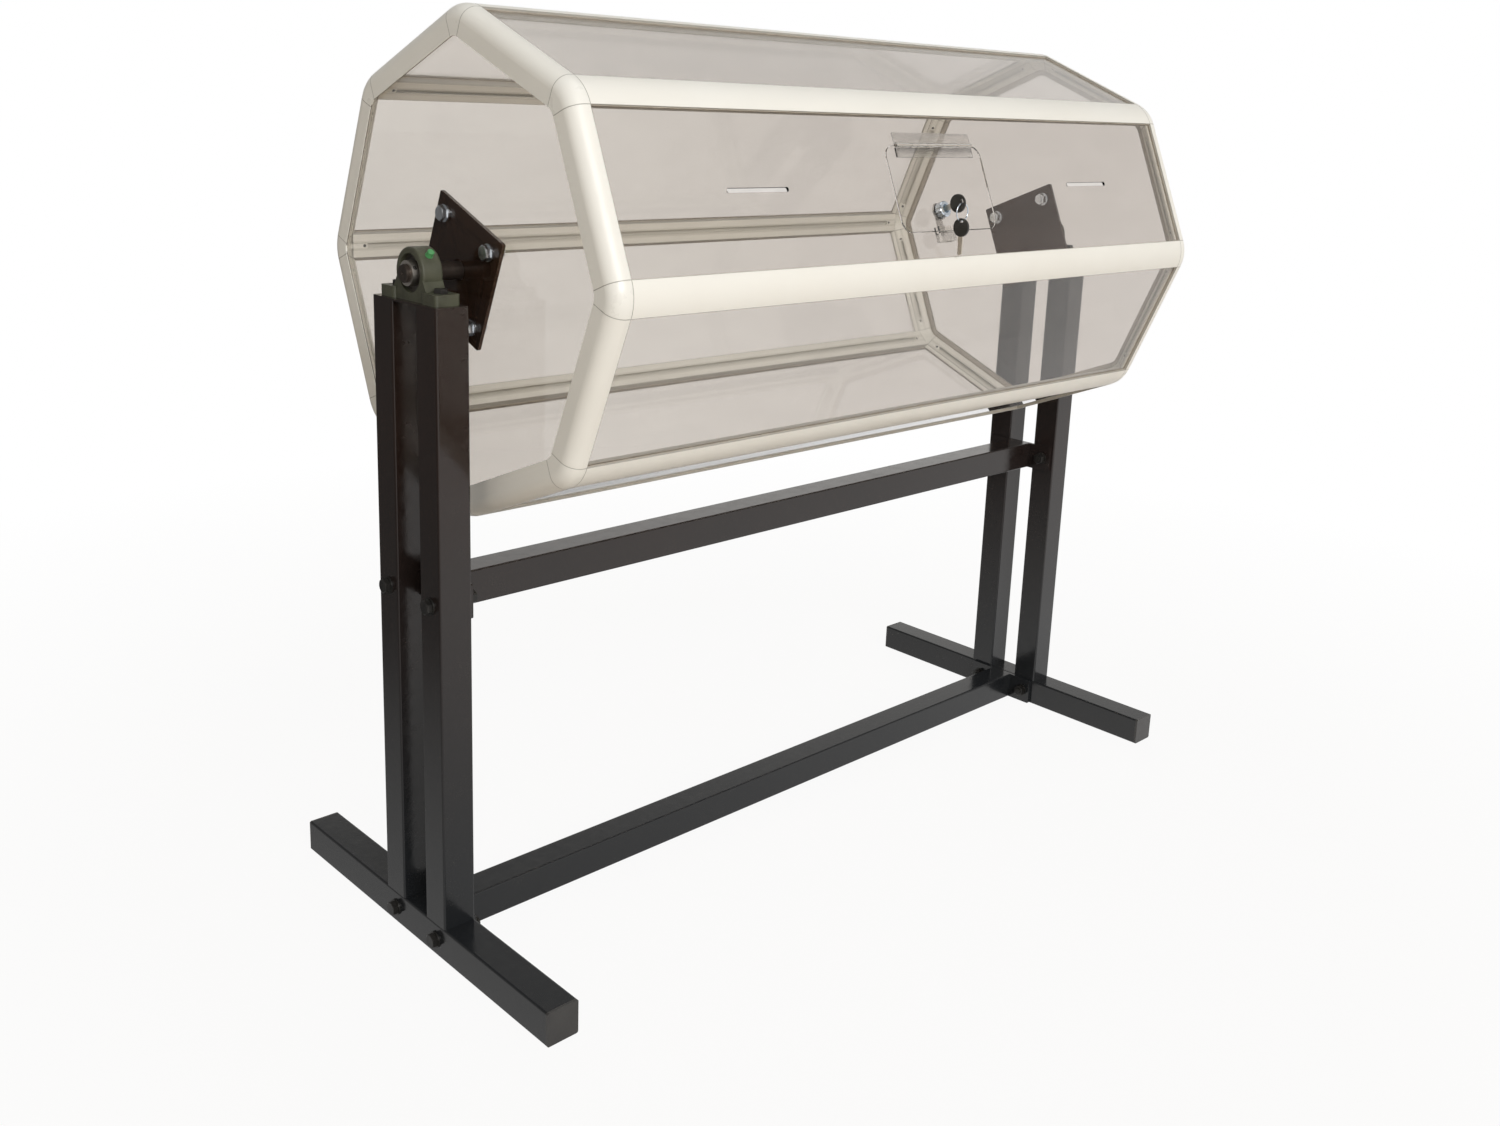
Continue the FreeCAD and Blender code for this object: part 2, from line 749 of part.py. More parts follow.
def build_grease_nipples():
    """Nipple on the crown of each block, half way down to the front, with a push-on cap."""
    lean = FreeCAD.Rotation(AXIS_X, NIPPLE_LEAN)
    forward = f"block_ring_radius * sin({NIPPLE_LEAN})"
    up = f"block_ring_radius * cos({NIPPLE_LEAN})"
    place = (f"-{POST_X}", f"-{forward}", f"{DRUM_AXIS} + {up}", lean)
    stem = cylinder("nipple_stem", "nipple_radius", "nipple_length")
    copies_node("grease_nipples", stem, both_ends([place]))

    cap = new_body("nipple_cap")
    section = new_sketch(cap, "XZ_Plane")
    hollow = "(nipple_radius + thread_clearance)"
    top = "nipple_cap_length"
    inner_top = "(nipple_length + thread_clearance)"
    outline(section, [
        ("0", inner_top),
        (hollow, inner_top),
        (hollow, "nipple_cap_lift"),
        ("nipple_cap_radius + nipple_cap_rim", "nipple_cap_lift"),
        ("nipple_cap_radius + nipple_cap_rim", "nipple_cap_wall"),
        ("nipple_cap_radius", "nipple_cap_wall"),
        ("nipple_cap_radius", f"{top} - nipple_cap_round"),
        ("nipple_cap_radius - nipple_cap_round", top),
        ("0", top),
    ], {6: "nipple_cap_round"})
    revolve(cap, section, "V_Axis")
    copies_node("nipple_caps", cap, both_ends([place]))


def build_inserts():
    """Insert bearing of each block: outer ring with its shields, and the ring that grips the shaft."""
    outer = new_body("insert_outer_ring")
    section = new_sketch(outer, "XZ_Plane")
    face = "(insert_width / 2)"
    shield = f"({face} - shield_recess)"
    bore = "(inner_ring_radius + bearing_gap)"
    outline(section, [
        (f"-{shield}", bore),
        (shield, bore),
        (shield, "shield_radius"),
        (face, "shield_radius"),
        (face, "insert_radius"),
        (f"-{face}", "insert_radius"),
        (f"-{face}", "shield_radius"),
        (f"-{shield}", "shield_radius"),
    ])
    revolve(outer, section, "H_Axis")
    copies_node("bearing_outer_rings", outer, both_ends([(f"-{POST_X}", "0", DRUM_AXIS)]))

    inner = new_body("insert_inner_ring")
    face = new_sketch(inner, "YZ_Plane", z="-inner_ring_outboard")
    circle(face, "0", "0", "inner_ring_radius")
    circle(face, "0", "0", "shaft_diameter / 2")
    pad(inner, face, "inner_ring_outboard + inner_ring_inboard")
    turns = [FreeCAD.Rotation(AXIS_X, angle) for angle in SET_SCREW_ANGLES]
    inset = "-(inner_ring_outboard - set_screw_inset)"
    drill = cylinder(
        "set_screw_drill", "set_screw_diameter / 2 + thread_clearance", "2 * inner_ring_radius", x=inset
    )
    drills = copies("set_screw_drills", drill, [("0", "0", "0", turn) for turn in turns])
    ring = minus("inner_ring_tapped", inner, drills)
    place = (f"-{POST_X}", "0", DRUM_AXIS)
    copies_node("bearing_inner_rings", ring, both_ends([place]))

    depth = "(inner_ring_radius - shaft_diameter / 2 - set_screw_sink)"
    screw = grub_screw("set_screw", "set_screw_diameter / 2", depth, "set_screw_socket")
    lifted = copies("set_screw_lifted", screw, [(inset, "0", f"shaft_diameter / 2 + {depth}")])
    pair = copies("set_screw_pair", lifted, [("0", "0", "0", turn) for turn in turns])
    copies_node("set_screws", pair, both_ends([place]))


# ---------------------------------------------------------------- shafts and end plates

def build_shafts():
    shaft = new_body("stub_shaft")
    section = new_sketch(shaft, "XZ_Plane")
    length = f"({SHAFT_END} - {PLATE_OUTER})"
    outline(section, [
        ("shaft_dimple_depth", "0"),
        (length, "0"),
        (length, "shaft_diameter / 2"),
        ("shaft_chamfer", "shaft_diameter / 2"),
        ("0", "shaft_diameter / 2 - shaft_chamfer"),
        ("0", "shaft_dimple_radius"),
    ])
    revolve(shaft, section, "H_Axis")
    left = (f"-{SHAFT_END}", "0", DRUM_AXIS)
    copies_node("shaft_left", shaft, [left])
    copies_node("shaft_right", shaft, [other_end(left)])


def plate_bolt_spots():
    """Places (y, z) of the end plate's bolts in the drum's frame, for the left end."""
    spots = []
    for corner in range(PLATE_CORNERS):
        angle = DIAGONAL + PLATE_TURN + corner * QUARTER
        spots.append((f"plate_bolt_radius * cos({angle})", f"plate_bolt_radius * sin({angle})"))
    return spots


def build_end_plates():
    plate = new_body("end_plate")
    face = new_sketch(plate, "YZ_Plane")
    half = "plate_side / 2"
    rounded_rectangle(face, f"-{half}", f"-{half}", half, half, "plate_corner")
    for corner in range(PLATE_CORNERS):
        angle = DIAGONAL + corner * QUARTER
        circle(face, f"plate_bolt_radius * cos({angle})", f"plate_bolt_radius * sin({angle})", BOLT_HOLE)
    pad(plate, face, "plate_thickness")
    left = (f"-{PLATE_OUTER}", "0", DRUM_AXIS, FreeCAD.Rotation(AXIS_X, PLATE_TURN))
    copies_node("end_plate_left", plate, [left])
    copies_node("end_plate_right", plate, [other_end(left)])

    grip = "(2 * washer_thickness + panel_thickness + plate_thickness)"
    bolt = hex_bolt(
        "plate_bolt", "bolt_diameter", "bolt_flats", "bolt_head_height", f"{grip} + nut_height + bolt_tail"
    )
    spots = [(y, f"{DRUM_AXIS} + {z}") for y, z in plate_bolt_spots()]
    outside = f"-({END_PANEL_OUTER} + washer_thickness)"
    copies_node("plate_bolts", bolt, both_ends([(outside, y, z, Z_TO_MINUS_X) for y, z in spots]))
    outer_washers = [(f"-{END_PANEL_OUTER}", y, z, Z_TO_MINUS_X) for y, z in spots]
    inner_washers = [(f"-{PLATE_INNER}", y, z, Z_TO_PLUS_X) for y, z in spots]
    copies_node("plate_washers", WASHER, both_ends(outer_washers + inner_washers))
    behind = f"-({PLATE_INNER} - washer_thickness)"
    copies_node("plate_nuts", NUT, both_ends([(behind, y, z, Z_TO_PLUS_X) for y, z in spots]))


# ---------------------------------------------------------------- drum frame

RAIL_NAMES = (
    "rail_top", "rail_front_top", "rail_front", "rail_front_low",
    "rail_bottom", "rail_back_low", "rail_back", "rail_back_top",
)
RAIL_LIP_RISE = f"({VERTEX} - rail_lip * {SIN})"
RAIL_FACE_DEPTH = f"((rail_lip * {COS} - rail_inner_width / 2) / {SIN})"
RAIL_FACE = f"({RAIL_LIP_RISE} - {RAIL_FACE_DEPTH} * {COS})"


def from_rail_lip(along, depth):
    """A point in the rail's section: along the panel towards the vertex, then in from its plane."""
    x = f"((rail_lip - ({along})) * {COS} - ({depth}) * {SIN})"
    y = f"({RAIL_LIP_RISE} + ({along}) * {SIN} - ({depth}) * {COS})"
    return x, y


def build_rails():
    """Long rail: a gently rounded outer face, a slot for each panel and a T-groove inside."""
    half = "(groove_opening / 2)"
    wide = "(groove_width / 2)"
    right = [
        from_rail_lip("0", "0"),
        from_rail_lip("0", "outer_lip"),
        from_rail_lip("rail_slot_depth", "outer_lip"),
        from_rail_lip("rail_slot_depth", SLOT_INNER),
        from_rail_lip("0", SLOT_INNER),
        ("rail_inner_width / 2", RAIL_FACE),
        (half, RAIL_FACE),
        (half, f"{RAIL_FACE} + groove_lip"),
        (wide, f"{RAIL_FACE} + groove_lip"),
        (wide, f"{RAIL_FACE} + groove_depth"),
    ]
    left = [(f"-{x}", y) for x, y in right]
    corners = [right[0]] + left + right[:0:-1]
    rail = new_body("rail_section")
    section = new_sketch(rail, "YZ_Plane")
    outline(section, corners, {0: CORNER_RADIUS})
    circle(section, "0", f"{VERTEX} - rail_core_depth", "core_radius")
    pad(rail, section, "drum_length - 2 * ring_side_lip", midplane=True)
    for turn, name in enumerate(RAIL_NAMES):
        copies_node(name, rail, [about_drum(turn * STEP_ANGLE)])


def ring_section_point(inward, down):
    """A point of the end ring's section: in from the end plane, and down from the side plane."""
    return f"({inward}) - {HALF}", f"drum_apothem - ({down})"


GROOVE_MIDDLE = f"((ring_inner_lip + {LIPS_DEPTH}) / 2)"


def groove_point(along, depth):
    """A point of the ring's T-groove: along its 45 degree face, and in from the face."""
    inward = f"{GROOVE_MIDDLE} + (({along}) - ({depth})) * cos({DIAGONAL})"
    down = f"{GROOVE_MIDDLE} - (({along}) + ({depth})) * cos({DIAGONAL})"
    return inward, down


def ring_section_start():
    """Outer corner and end slot, shared by the ring bars and the corner connectors."""
    return [
        ("ring_side_lip", "0"),
        ("ring_corner_radius", "0"),
        ("0", "ring_corner_radius"),
        ("0", "ring_end_lip"),
        ("outer_lip", "ring_end_lip"),
        ("outer_lip", "ring_slot_floor"),
        (SLOT_INNER, "ring_slot_floor"),
        (SLOT_INNER, "ring_inner_lip"),
        (LIPS_DEPTH, "ring_inner_lip"),
    ]


def build_ring_bars():
    """End ring bar: a rounded right-angle section, a slot each way and a T-groove at 45 degrees."""
    half = "groove_opening / 2"
    wide = "groove_width / 2"
    groove = [
        groove_point(f"-{half}", "0"),
        groove_point(f"-{half}", "groove_lip"),
        groove_point(f"-{wide}", "groove_lip"),
        groove_point(f"-{wide}", "groove_depth"),
        groove_point(wide, "groove_depth"),
        groove_point(wide, "groove_lip"),
        groove_point(half, "groove_lip"),
        groove_point(half, "0"),
    ]
    finish = [
        ("ring_inner_lip", LIPS_DEPTH),
        ("ring_inner_lip", SLOT_INNER),
        ("ring_slot_floor", SLOT_INNER),
        ("ring_slot_floor", "outer_lip"),
        ("ring_side_lip", "outer_lip"),
    ]
    corners = [ring_section_point(*point) for point in ring_section_start() + groove + finish]
    bar = new_body("ring_bar")
    section = new_sketch(bar, "XZ_Plane")
    outline(section, corners, {1: "ring_corner_radius"})
    circle(section, *ring_section_point("ring_core_depth", "ring_core_depth"), "core_radius")
    pad(bar, section, f"2 * {SEAM_HALF}", midplane=True)
    for end in ("left", "right"):
        turns = [HALF_ANGLE + side * STEP_ANGLE for side in range(SIDES)]
        copies_node(f"ring_bars_{end}", bar, [about_drum(turn, end) for turn in turns])


def build_connectors():
    """Three-way corner: the ring's section swept round the corner, with a tongue into each groove."""
    core = new_body("connector_core")
    section = new_sketch(core, "XZ_Plane", y=CORNER_CENTRE)
    points = ring_section_start()
    points.append(("ring_side_lip", f"ring_inner_lip + {LIPS_DEPTH} - ring_side_lip"))
    corners = [(f"({inward}) - {HALF}", f"{CORNER_RADIUS} - ({down})") for inward, down in points]
    outline(section, corners, {1: "ring_corner_radius"})
    revolve(core, section, "H_Axis", STEP_ANGLE, midplane=True)

    # A tongue in its own frame: it points along -Y from a seam at Y = 0, the groove's mouth is at Z = 0.
    # The root of the rail's tongue reaches further in, under the core's slanting inner face.
    width = "(groove_opening - 2 * tongue_side_gap)"
    depth = "(groove_depth - tongue_recess - tongue_side_gap)"
    hole_y = "-(tongue_length - grub_inset)"
    drill = cylinder(
        "grub_drill", "grub_diameter / 2 + thread_clearance", "2 * groove_depth", y=hole_y, z="-groove_lip"
    )
    bar = box(
        "tongue_bar", width, "tongue_length + tongue_root", depth,
        f"-{width} / 2", "-tongue_length", "tongue_recess",
    )
    tongue = minus("tongue", bar, drill)
    grub_length = "(groove_depth - tongue_recess - grub_sink)"
    grub = grub_screw("grub_blank", "grub_diameter / 2", grub_length, "grub_socket")
    facing_out = FreeCAD.Rotation(AXIS_X, 180)
    grub_place = ("0", hole_y, "tongue_recess + grub_sink", facing_out)
    grub_in_tongue = copies("grub_in_tongue", grub, [grub_place])

    slant = FreeCAD.Rotation(AXIS_Y, -DIAGONAL)
    seat = (f"{GROOVE_MIDDLE} - {HALF}", "0", f"{CORNER_RADIUS} - {GROOVE_MIDDLE}")
    sides = [
        ("0", "0", CORNER_CENTRE, FreeCAD.Rotation(AXIS_X, HALF_ANGLE)),
        ("0", "0", CORNER_CENTRE, FreeCAD.Rotation(AXIS_X, -HALF_ANGLE)),
    ]
    rail_seat = (f"ring_side_lip - {HALF}", "0", RAIL_FACE, FreeCAD.Rotation(AXIS_Z, QUARTER))

    def along_three_members(name, piece):
        front = copies(f"{name}_front_seat", piece, [seat + (slant,)])
        back = copies(f"{name}_back_seat", piece, [seat + (slant.multiply(HALF_TURN),)])
        return [
            copies(f"{name}_front", front, [sides[0]]),
            copies(f"{name}_back", back, [sides[1]]),
            copies(f"{name}_rail", piece, [rail_seat]),
        ]
    connector = plus("connector", [core] + along_three_members("tongue", tongue))
    grubs = doc.addObject("Part::Compound", "connector_grubs")
    grubs.Links = along_three_members("grub", grub_in_tongue)
    for end in ("left", "right"):
        turns = [corner * STEP_ANGLE for corner in range(SIDES)]
        copies_node(f"corner_connectors_{end}", connector, [about_drum(turn, end) for turn in turns])
    places = [about_drum(corner * STEP_ANGLE, end) for end in ("left", "right") for corner in range(SIDES)]
    copies_node("connector_screws", grubs, places)


# ---------------------------------------------------------------- panels and gaskets

def notched_rectangle(sketch, half_x, half_y, notch_x, notch_y):
    """A rectangle whose corners are cut away beyond notch_x and notch_y."""
    quarter = [(half_x, notch_y), (notch_x, notch_y), (notch_x, half_y)]
    corners = list(quarter)
    corners += [(f"-{x}", y) for x, y in reversed(quarter)]
    corners += [(f"-{x}", f"-{y}") for x, y in quarter]
    corners += [(x, f"-{y}") for x, y in reversed(quarter)]
    outline(sketch, corners)


SEAM_X = f"({HALF} - ring_side_lip)"
FLOOR_X = f"({HALF} - ring_slot_floor)"
FLOOR_Y = f"({SEAM_HALF} + rail_slot_depth)"
WEB = "gasket_thickness"
SHEET_OUTLINE = [f"({edge} - {WEB})" for edge in (FLOOR_X, FLOOR_Y, SEAM_X, SEAM_HALF)]


def side_sheet(name):
    """A clear side panel in the drum's frame, facing +Z, with its corners clear of the connectors."""
    body = new_body(name)
    sketch = new_sketch(body, "XY_Plane", z=PANEL_INNER)
    notched_rectangle(sketch, *SHEET_OUTLINE)
    pad(body, sketch, "panel_thickness")
    return body


DOOR_LEFT = "(-door_width / 2)"
DOOR_RIGHT = "(door_width / 2)"
DOOR_TOP = "(door_height / 2 - door_drop)"
DOOR_BOTTOM = "(-door_height / 2 - door_drop)"


def build_side_panels():
    front = side_sheet("panel_front_upper_sheet")
    openings = new_sketch(front, "XY_Plane", z=PANEL_INNER)
    for centre in ("-slot_offset", "slot_offset"):
        rounded_rectangle(
            openings,
            f"{centre} - slot_length / 2",
            "-slot_height / 2",
            f"{centre} + slot_length / 2",
            "slot_height / 2",
            "slot_round",
        )
    rounded_rectangle(
        openings,
        f"{DOOR_LEFT} - door_gap",
        f"{DOOR_BOTTOM} - door_gap",
        f"{DOOR_RIGHT} + door_gap",
        f"{DOOR_TOP} + door_gap",
        "(door_corner + door_gap)",
    )
    cut_through(front, openings)
    node(put(front, *ON_FRONT_PANEL), "panel_front_upper")

    plain = side_sheet("plain_side_sheet")
    turns = [HALF_ANGLE + side * STEP_ANGLE for side in range(SIDES)]
    others = [turn for turn in turns if turn != FRONT_PANEL_TURN]
    copies_node("side_panels", plain, [about_drum(turn) for turn in others])


def build_end_panels():
    sheet_body = new_body("end_sheet")
    face = new_sketch(sheet_body, "YZ_Plane")
    apothem = f"drum_apothem - ring_slot_floor - {WEB}"
    rounded_octagon(face, apothem, f"{CORNER_RADIUS} - ring_slot_floor - {WEB}")
    circle(face, "0", "0", "shaft_diameter / 2 + shaft_hole_clearance")
    for y, z in plate_bolt_spots():
        circle(face, y, z, BOLT_HOLE)
    pad(sheet_body, face, "panel_thickness")
    copies_node("end_panels", sheet_body, both_ends([(f"-{END_PANEL_OUTER}", "0", DRUM_AXIS)]))


def build_gaskets():
    """U-shaped strips that line the slots round every panel."""
    side = new_body("side_gasket")
    frame = new_sketch(side, "XY_Plane", z=f"{PANEL_INNER} - {WEB}")
    notched_rectangle(frame, FLOOR_X, FLOOR_Y, SEAM_X, SEAM_HALF)
    window_x = f"({SEAM_X} - gasket_show)"
    window_y = f"({SEAM_HALF} - gasket_show)"
    rectangle(frame, f"-{window_x}", f"-{window_y}", window_x, window_y)
    pad(side, frame, SLOT)
    groove = new_sketch(side, "XY_Plane", z=PANEL_INNER)
    notched_rectangle(groove, *SHEET_OUTLINE)
    cut_deep(side, groove, "panel_thickness", reverse=True)

    end = new_body("end_gasket")
    face = new_sketch(end, "YZ_Plane", z=f"outer_lip - {HALF}")
    rounded_octagon(face, "drum_apothem - ring_slot_floor", f"{CORNER_RADIUS} - ring_slot_floor")
    window = "(ring_inner_lip + gasket_show)"
    rounded_octagon(face, f"drum_apothem - {window}", f"{CORNER_RADIUS} - {window}")
    pad(end, face, SLOT)
    groove = new_sketch(end, "YZ_Plane", z=f"-{END_PANEL_OUTER}")
    rounded_octagon(
        groove, f"drum_apothem - ring_slot_floor - {WEB}", f"{CORNER_RADIUS} - ring_slot_floor - {WEB}"
    )
    cut_deep(end, groove, "panel_thickness", reverse=True)

    turns = [HALF_ANGLE + number * STEP_ANGLE for number in range(SIDES)]
    sides = copies("side_gaskets", side, [about_drum(turn) for turn in turns])
    ends = copies("end_gaskets", end, both_ends([about_drum(0)]))
    gaskets = doc.addObject("Part::Compound", "panel_gaskets_group")
    gaskets.Links = [sides, ends]
    node(gaskets, "panel_gaskets")


# ---------------------------------------------------------------- door, in the front panel's frame:
# X along the drum, Y up the panel from its middle, Z outwards from the drum's axis

HINGE_Y = "(door_height / 2 - door_drop + door_gap / 2)"
HINGE_Z = f"({PANEL_OUTER} + hinge_barrel_radius + hinge_barrel_rise)"
LOCK_X = "(-lock_offset)"
LOCK_Y = "(-lock_drop)"
HINGE_KNUCKLES = 5


def build_flap():
    flap = new_body("door_flap_sheet")
    sketch = new_sketch(flap, "XY_Plane", z=PANEL_INNER)
    rounded_rectangle(sketch, DOOR_LEFT, DOOR_BOTTOM, DOOR_RIGHT, DOOR_TOP, "door_corner")
    circle(sketch, LOCK_X, LOCK_Y, "lock_thread_radius + lock_hole_clearance")
    pad(flap, sketch, "panel_thickness")
    node(put(flap, *ON_FRONT_PANEL), "door_flap")


def hinge_leaf(name, sign, width, knuckles):
    """One leaf of the strip hinge: a strip on the sheet, and its share of the barrels."""
    pitch = f"(hinge_length / {HINGE_KNUCKLES})"
    near = "(hinge_barrel_radius + hinge_barrel_gap)"
    low = near if sign > 0 else f"(-{near} - {width})"
    strip = box(
        f"{name}_strip", "hinge_length", width, "hinge_leaf_thickness",
        "-hinge_length / 2", f"{HINGE_Y} + {low}", PANEL_OUTER,
    )
    pieces = [strip]
    for knuckle in knuckles:
        start = f"(-hinge_length / 2 + {knuckle} * {pitch} + hinge_barrel_gap / 2)"
        length = f"({pitch} - hinge_barrel_gap)"
        barrel = cylinder(
            f"{name}_barrel", "hinge_barrel_radius", length, start, HINGE_Y, HINGE_Z, Z_TO_PLUS_X
        )
        reach = f"({near} + hinge_leaf_thickness)"
        tab_low = "0" if sign > 0 else f"-{reach}"
        tab = box(
            f"{name}_tab", length, reach, "hinge_leaf_thickness - hinge_barrel_rise",
            start, f"{HINGE_Y} + {tab_low}", f"{PANEL_OUTER} + hinge_barrel_rise",
        )
        pieces += [barrel, tab]
    solid = plus(f"{name}_solid", pieces)
    bore = cylinder(
        f"{name}_bore", "hinge_pin_radius + hinge_pin_clearance", "2 * hinge_length",
        "-hinge_length", HINGE_Y, HINGE_Z, Z_TO_PLUS_X,
    )
    return minus(name, solid, bore)


def build_hinge():
    fixed = hinge_leaf("fixed_leaf", 1, "hinge_fixed_leaf", range(0, HINGE_KNUCKLES, 2))
    moving = hinge_leaf("moving_leaf", -1, "hinge_moving_leaf", range(1, HINGE_KNUCKLES, 2))
    copies_node("hinge_fixed_leaf", fixed, [ON_FRONT_PANEL])
    copies_node("hinge_moving_leaf", moving, [ON_FRONT_PANEL])
    pin = cylinder(
        "hinge_pin_wire", "hinge_pin_radius", "hinge_length",
        "-hinge_length / 2", HINGE_Y, HINGE_Z, Z_TO_PLUS_X,
    )
    copies_node("hinge_pin", pin, [ON_FRONT_PANEL])


# The lock's pieces stand on the flap's outer face, with Z = 0 there and the axis on Z.
CAM_TOP = "(panel_thickness + lock_nut_height + cam_gap)"
ON_LOCK = (LOCK_X, LOCK_Y, PANEL_OUTER)


def on_lock(label, piece):
    copies_node(label, copies(f"{label}_stood", piece, [ON_LOCK]), [ON_FRONT_PANEL])


def build_lock():
    barrel = new_body("lock_barrel_turned")
    section = new_sketch(barrel, "XZ_Plane")
    bore = "(plug_radius + plug_clearance)"
    tang_bore = "(plug_tang_radius + plug_clearance)"
    floor = f"(-{CAM_TOP} + cam_gap / 2)"
    step = f"({floor} + lock_floor)"
    outline(section, [
        (tang_bore, floor),
        ("lock_thread_radius", floor),
        ("lock_thread_radius", "0"),
        ("lock_head_radius", "0"),
        ("lock_head_radius", "lock_head_height - lock_head_chamfer"),
        ("lock_head_radius - lock_head_chamfer", "lock_head_height"),
        (bore, "lock_head_height"),
        (bore, step),
        (tang_bore, step),
    ])
    revolve(barrel, section, "V_Axis")
    on_lock("lock_barrel", barrel)

    blank = chamfered_hexagon("lock_nut_blank", "lock_nut_flats", "lock_nut_height")
    hole = cylinder(
        "lock_nut_bore", "lock_thread_radius + thread_clearance", "3 * lock_nut_height", z="-lock_nut_height"
    )
    nut = minus("lock_nut_piece", blank, hole)
    flipped = copies("lock_nut_flipped", nut, [("0", "0", "-panel_thickness", FreeCAD.Rotation(AXIS_X, 180))])
    on_lock("lock_nut", flipped)

    plug = new_body("lock_plug_turned")
    section = new_sketch(plug, "XZ_Plane")
    tang_end = f"(-{CAM_TOP})"
    plug_step = f"({step} + plug_clearance)"
    outline(section, [
        ("0", tang_end),
        ("plug_tang_radius", tang_end),
        ("plug_tang_radius", plug_step),
        ("plug_radius", plug_step),
        ("plug_radius", "lock_head_height - plug_sink"),
        ("0", "lock_head_height - plug_sink"),
    ])
    revolve(plug, section, "V_Axis")
    slot_width = "(blade_thickness + 2 * key_slot_clearance)"
    slot_height = "(blade_width + 2 * key_slot_clearance)"
    keyway = box(
        "keyway", slot_width, slot_height, "key_insertion + lock_head_height",
        f"-{slot_width} / 2", f"-{slot_height} / 2",
        "lock_head_height - key_insertion - key_slot_clearance",
    )
    on_lock("lock_plug", minus("lock_plug_slotted", plug, keyway))

    cam = new_body("cam_plate")
    sketch = new_sketch(cam, "XY_Plane", z=f"-{CAM_TOP} - cam_thickness")
    rounded_rectangle(
        sketch, "-cam_width / 2", "-cam_reach", "cam_width / 2", "cam_width / 2", "cam_corner"
    )
    pad(cam, sketch, "cam_thickness")
    on_lock("lock_cam", cam)


def build_catch():
    """Clear block under the flap's lower edge: a stop for the flap, with a slot that the cam turns into."""
    catch = new_body("catch_block_piece")
    sketch = new_sketch(catch, "YZ_Plane", z="-catch_offset")
    top = f"({DOOR_BOTTOM} + catch_overlap)"
    bottom = f"({top} - catch_height)"
    edge = f"({DOOR_BOTTOM} - door_gap)"
    back = f"({PANEL_INNER} - catch_thickness)"
    slot_floor = f"({top} - catch_slot_depth)"
    slot_front = f"({PANEL_OUTER} - {CAM_TOP} + catch_slot_clearance)"
    slot_back = f"({PANEL_OUTER} - {CAM_TOP} - cam_thickness - catch_slot_clearance)"
    outline(sketch, [
        (bottom, back),
        (top, back),
        (top, slot_back),
        (slot_floor, slot_back),
        (slot_floor, slot_front),
        (top, slot_front),
        (top, f"{PANEL_INNER} - catch_relief"),
        (edge, f"{PANEL_INNER} - catch_relief"),
        (edge, PANEL_INNER),
        (bottom, PANEL_INNER),
    ])
    pad(catch, sketch, "catch_width", midplane=True)
    node(put(catch, *ON_FRONT_PANEL), "catch_block")


# ---------------------------------------------------------------- keys, hanging down from a hole at
# the origin, flat in the YZ plane

def build_key_pieces():
    bow_body = new_body("key_bow")
    face = new_sketch(bow_body, "YZ_Plane")
    circle(face, "0", "-bow_hole_offset", "bow_radius")
    half_length = "bow_slot_length / 2"
    half_width = "bow_slot_width / 2"
    rounded_rectangle(face, f"-{half_length}", f"-{half_width}", half_length, half_width, "bow_slot_corner")
    pad(bow_body, face, "bow_thickness", midplane=True)
    shoulder = "(-bow_hole_offset - bow_radius)"
    pocket = box(
        "tang_pocket", "blade_thickness", "blade_width", "2 * blade_tang",
        "-blade_thickness / 2", "-blade_width / 2", f"{shoulder} - blade_tang",
    )
    bow = minus("key_bow_pocketed", bow_body, pocket)

    blade = new_body("key_blade")
    side = new_sketch(blade, "YZ_Plane")
    half = "blade_width / 2"
    tip = f"({shoulder} - blade_length)"
    top = f"({shoulder} + blade_tang)"
    notch = "blade_tip / 2"
    corners = [(f"-{half}", top), (f"-{half}", f"{tip} + blade_tip"), (f"-{half} + blade_tip", tip)]
    corners += [(f"{half} - blade_tip", tip), (half, f"{tip} + blade_tip")]
    for step in range(3):
        low = f"({tip} + blade_tip * {2 * step + 2})"
        corners += [
            (f"{half} - {notch}", f"{low} + {notch}"),
            (half, f"{low} + 2 * {notch}"),
        ]
    corners.append((half, top))
    outline(side, corners)
    pad(blade, side, "blade_thickness", midplane=True)
    return bow, blade


def build_keys():
    bow, blade = build_key_pieces()
    key_length = "(bow_hole_offset + bow_radius + blade_length)"
    hole_height = f"(lock_head_height - key_insertion + {key_length})"
    for label, piece in (("lock_key_bow", bow), ("lock_key_blade", blade)):
        on_lock(label, copies(f"{label}_raised", piece, [("0", "0", hole_height)]))

    # The ring's wire rests in the lowest corner of the slot in the lock's key
    inset = "(key_wire_radius + key_ring_gap)"
    low = f"({LOCK_Y} - bow_slot_length / 2 + {inset})"
    out = f"({PANEL_OUTER} + {hole_height} - bow_slot_width / 2 + {inset})"
    turn = FRONT_PANEL_TURN
    wire_y = f"({low} * cos({turn}) - {out} * sin({turn}))"
    wire_z = f"({DRUM_AXIS} + {low} * sin({turn}) + {out} * cos({turn}))"
    ring = doc.addObject("Part::Torus", "key_ring_wire")
    bind(ring, "Radius1", "key_ring_radius")
    bind(ring, "Radius2", "key_wire_radius")
    put(ring, LOCK_X, wire_y, f"{wire_z} - key_ring_radius", FreeCAD.Rotation(AXIS_X, QUARTER))
    node(ring, "key_ring")
    spare = f"({wire_z} - 2 * key_ring_radius - bow_slot_width / 2 + {inset})"
    copies_node("spare_key_bow", bow, [(LOCK_X, wire_y, spare)])
    copies_node("spare_key_blade", blade, [(LOCK_X, wire_y, spare)])


# ---------------------------------------------------------------- build, check and write

WASHER = washer("flat_washer", "washer_diameter", "bolt_diameter", "washer_thickness")
NUT = hex_nut("plain_nut", "bolt_diameter", "bolt_flats", "nut_height")

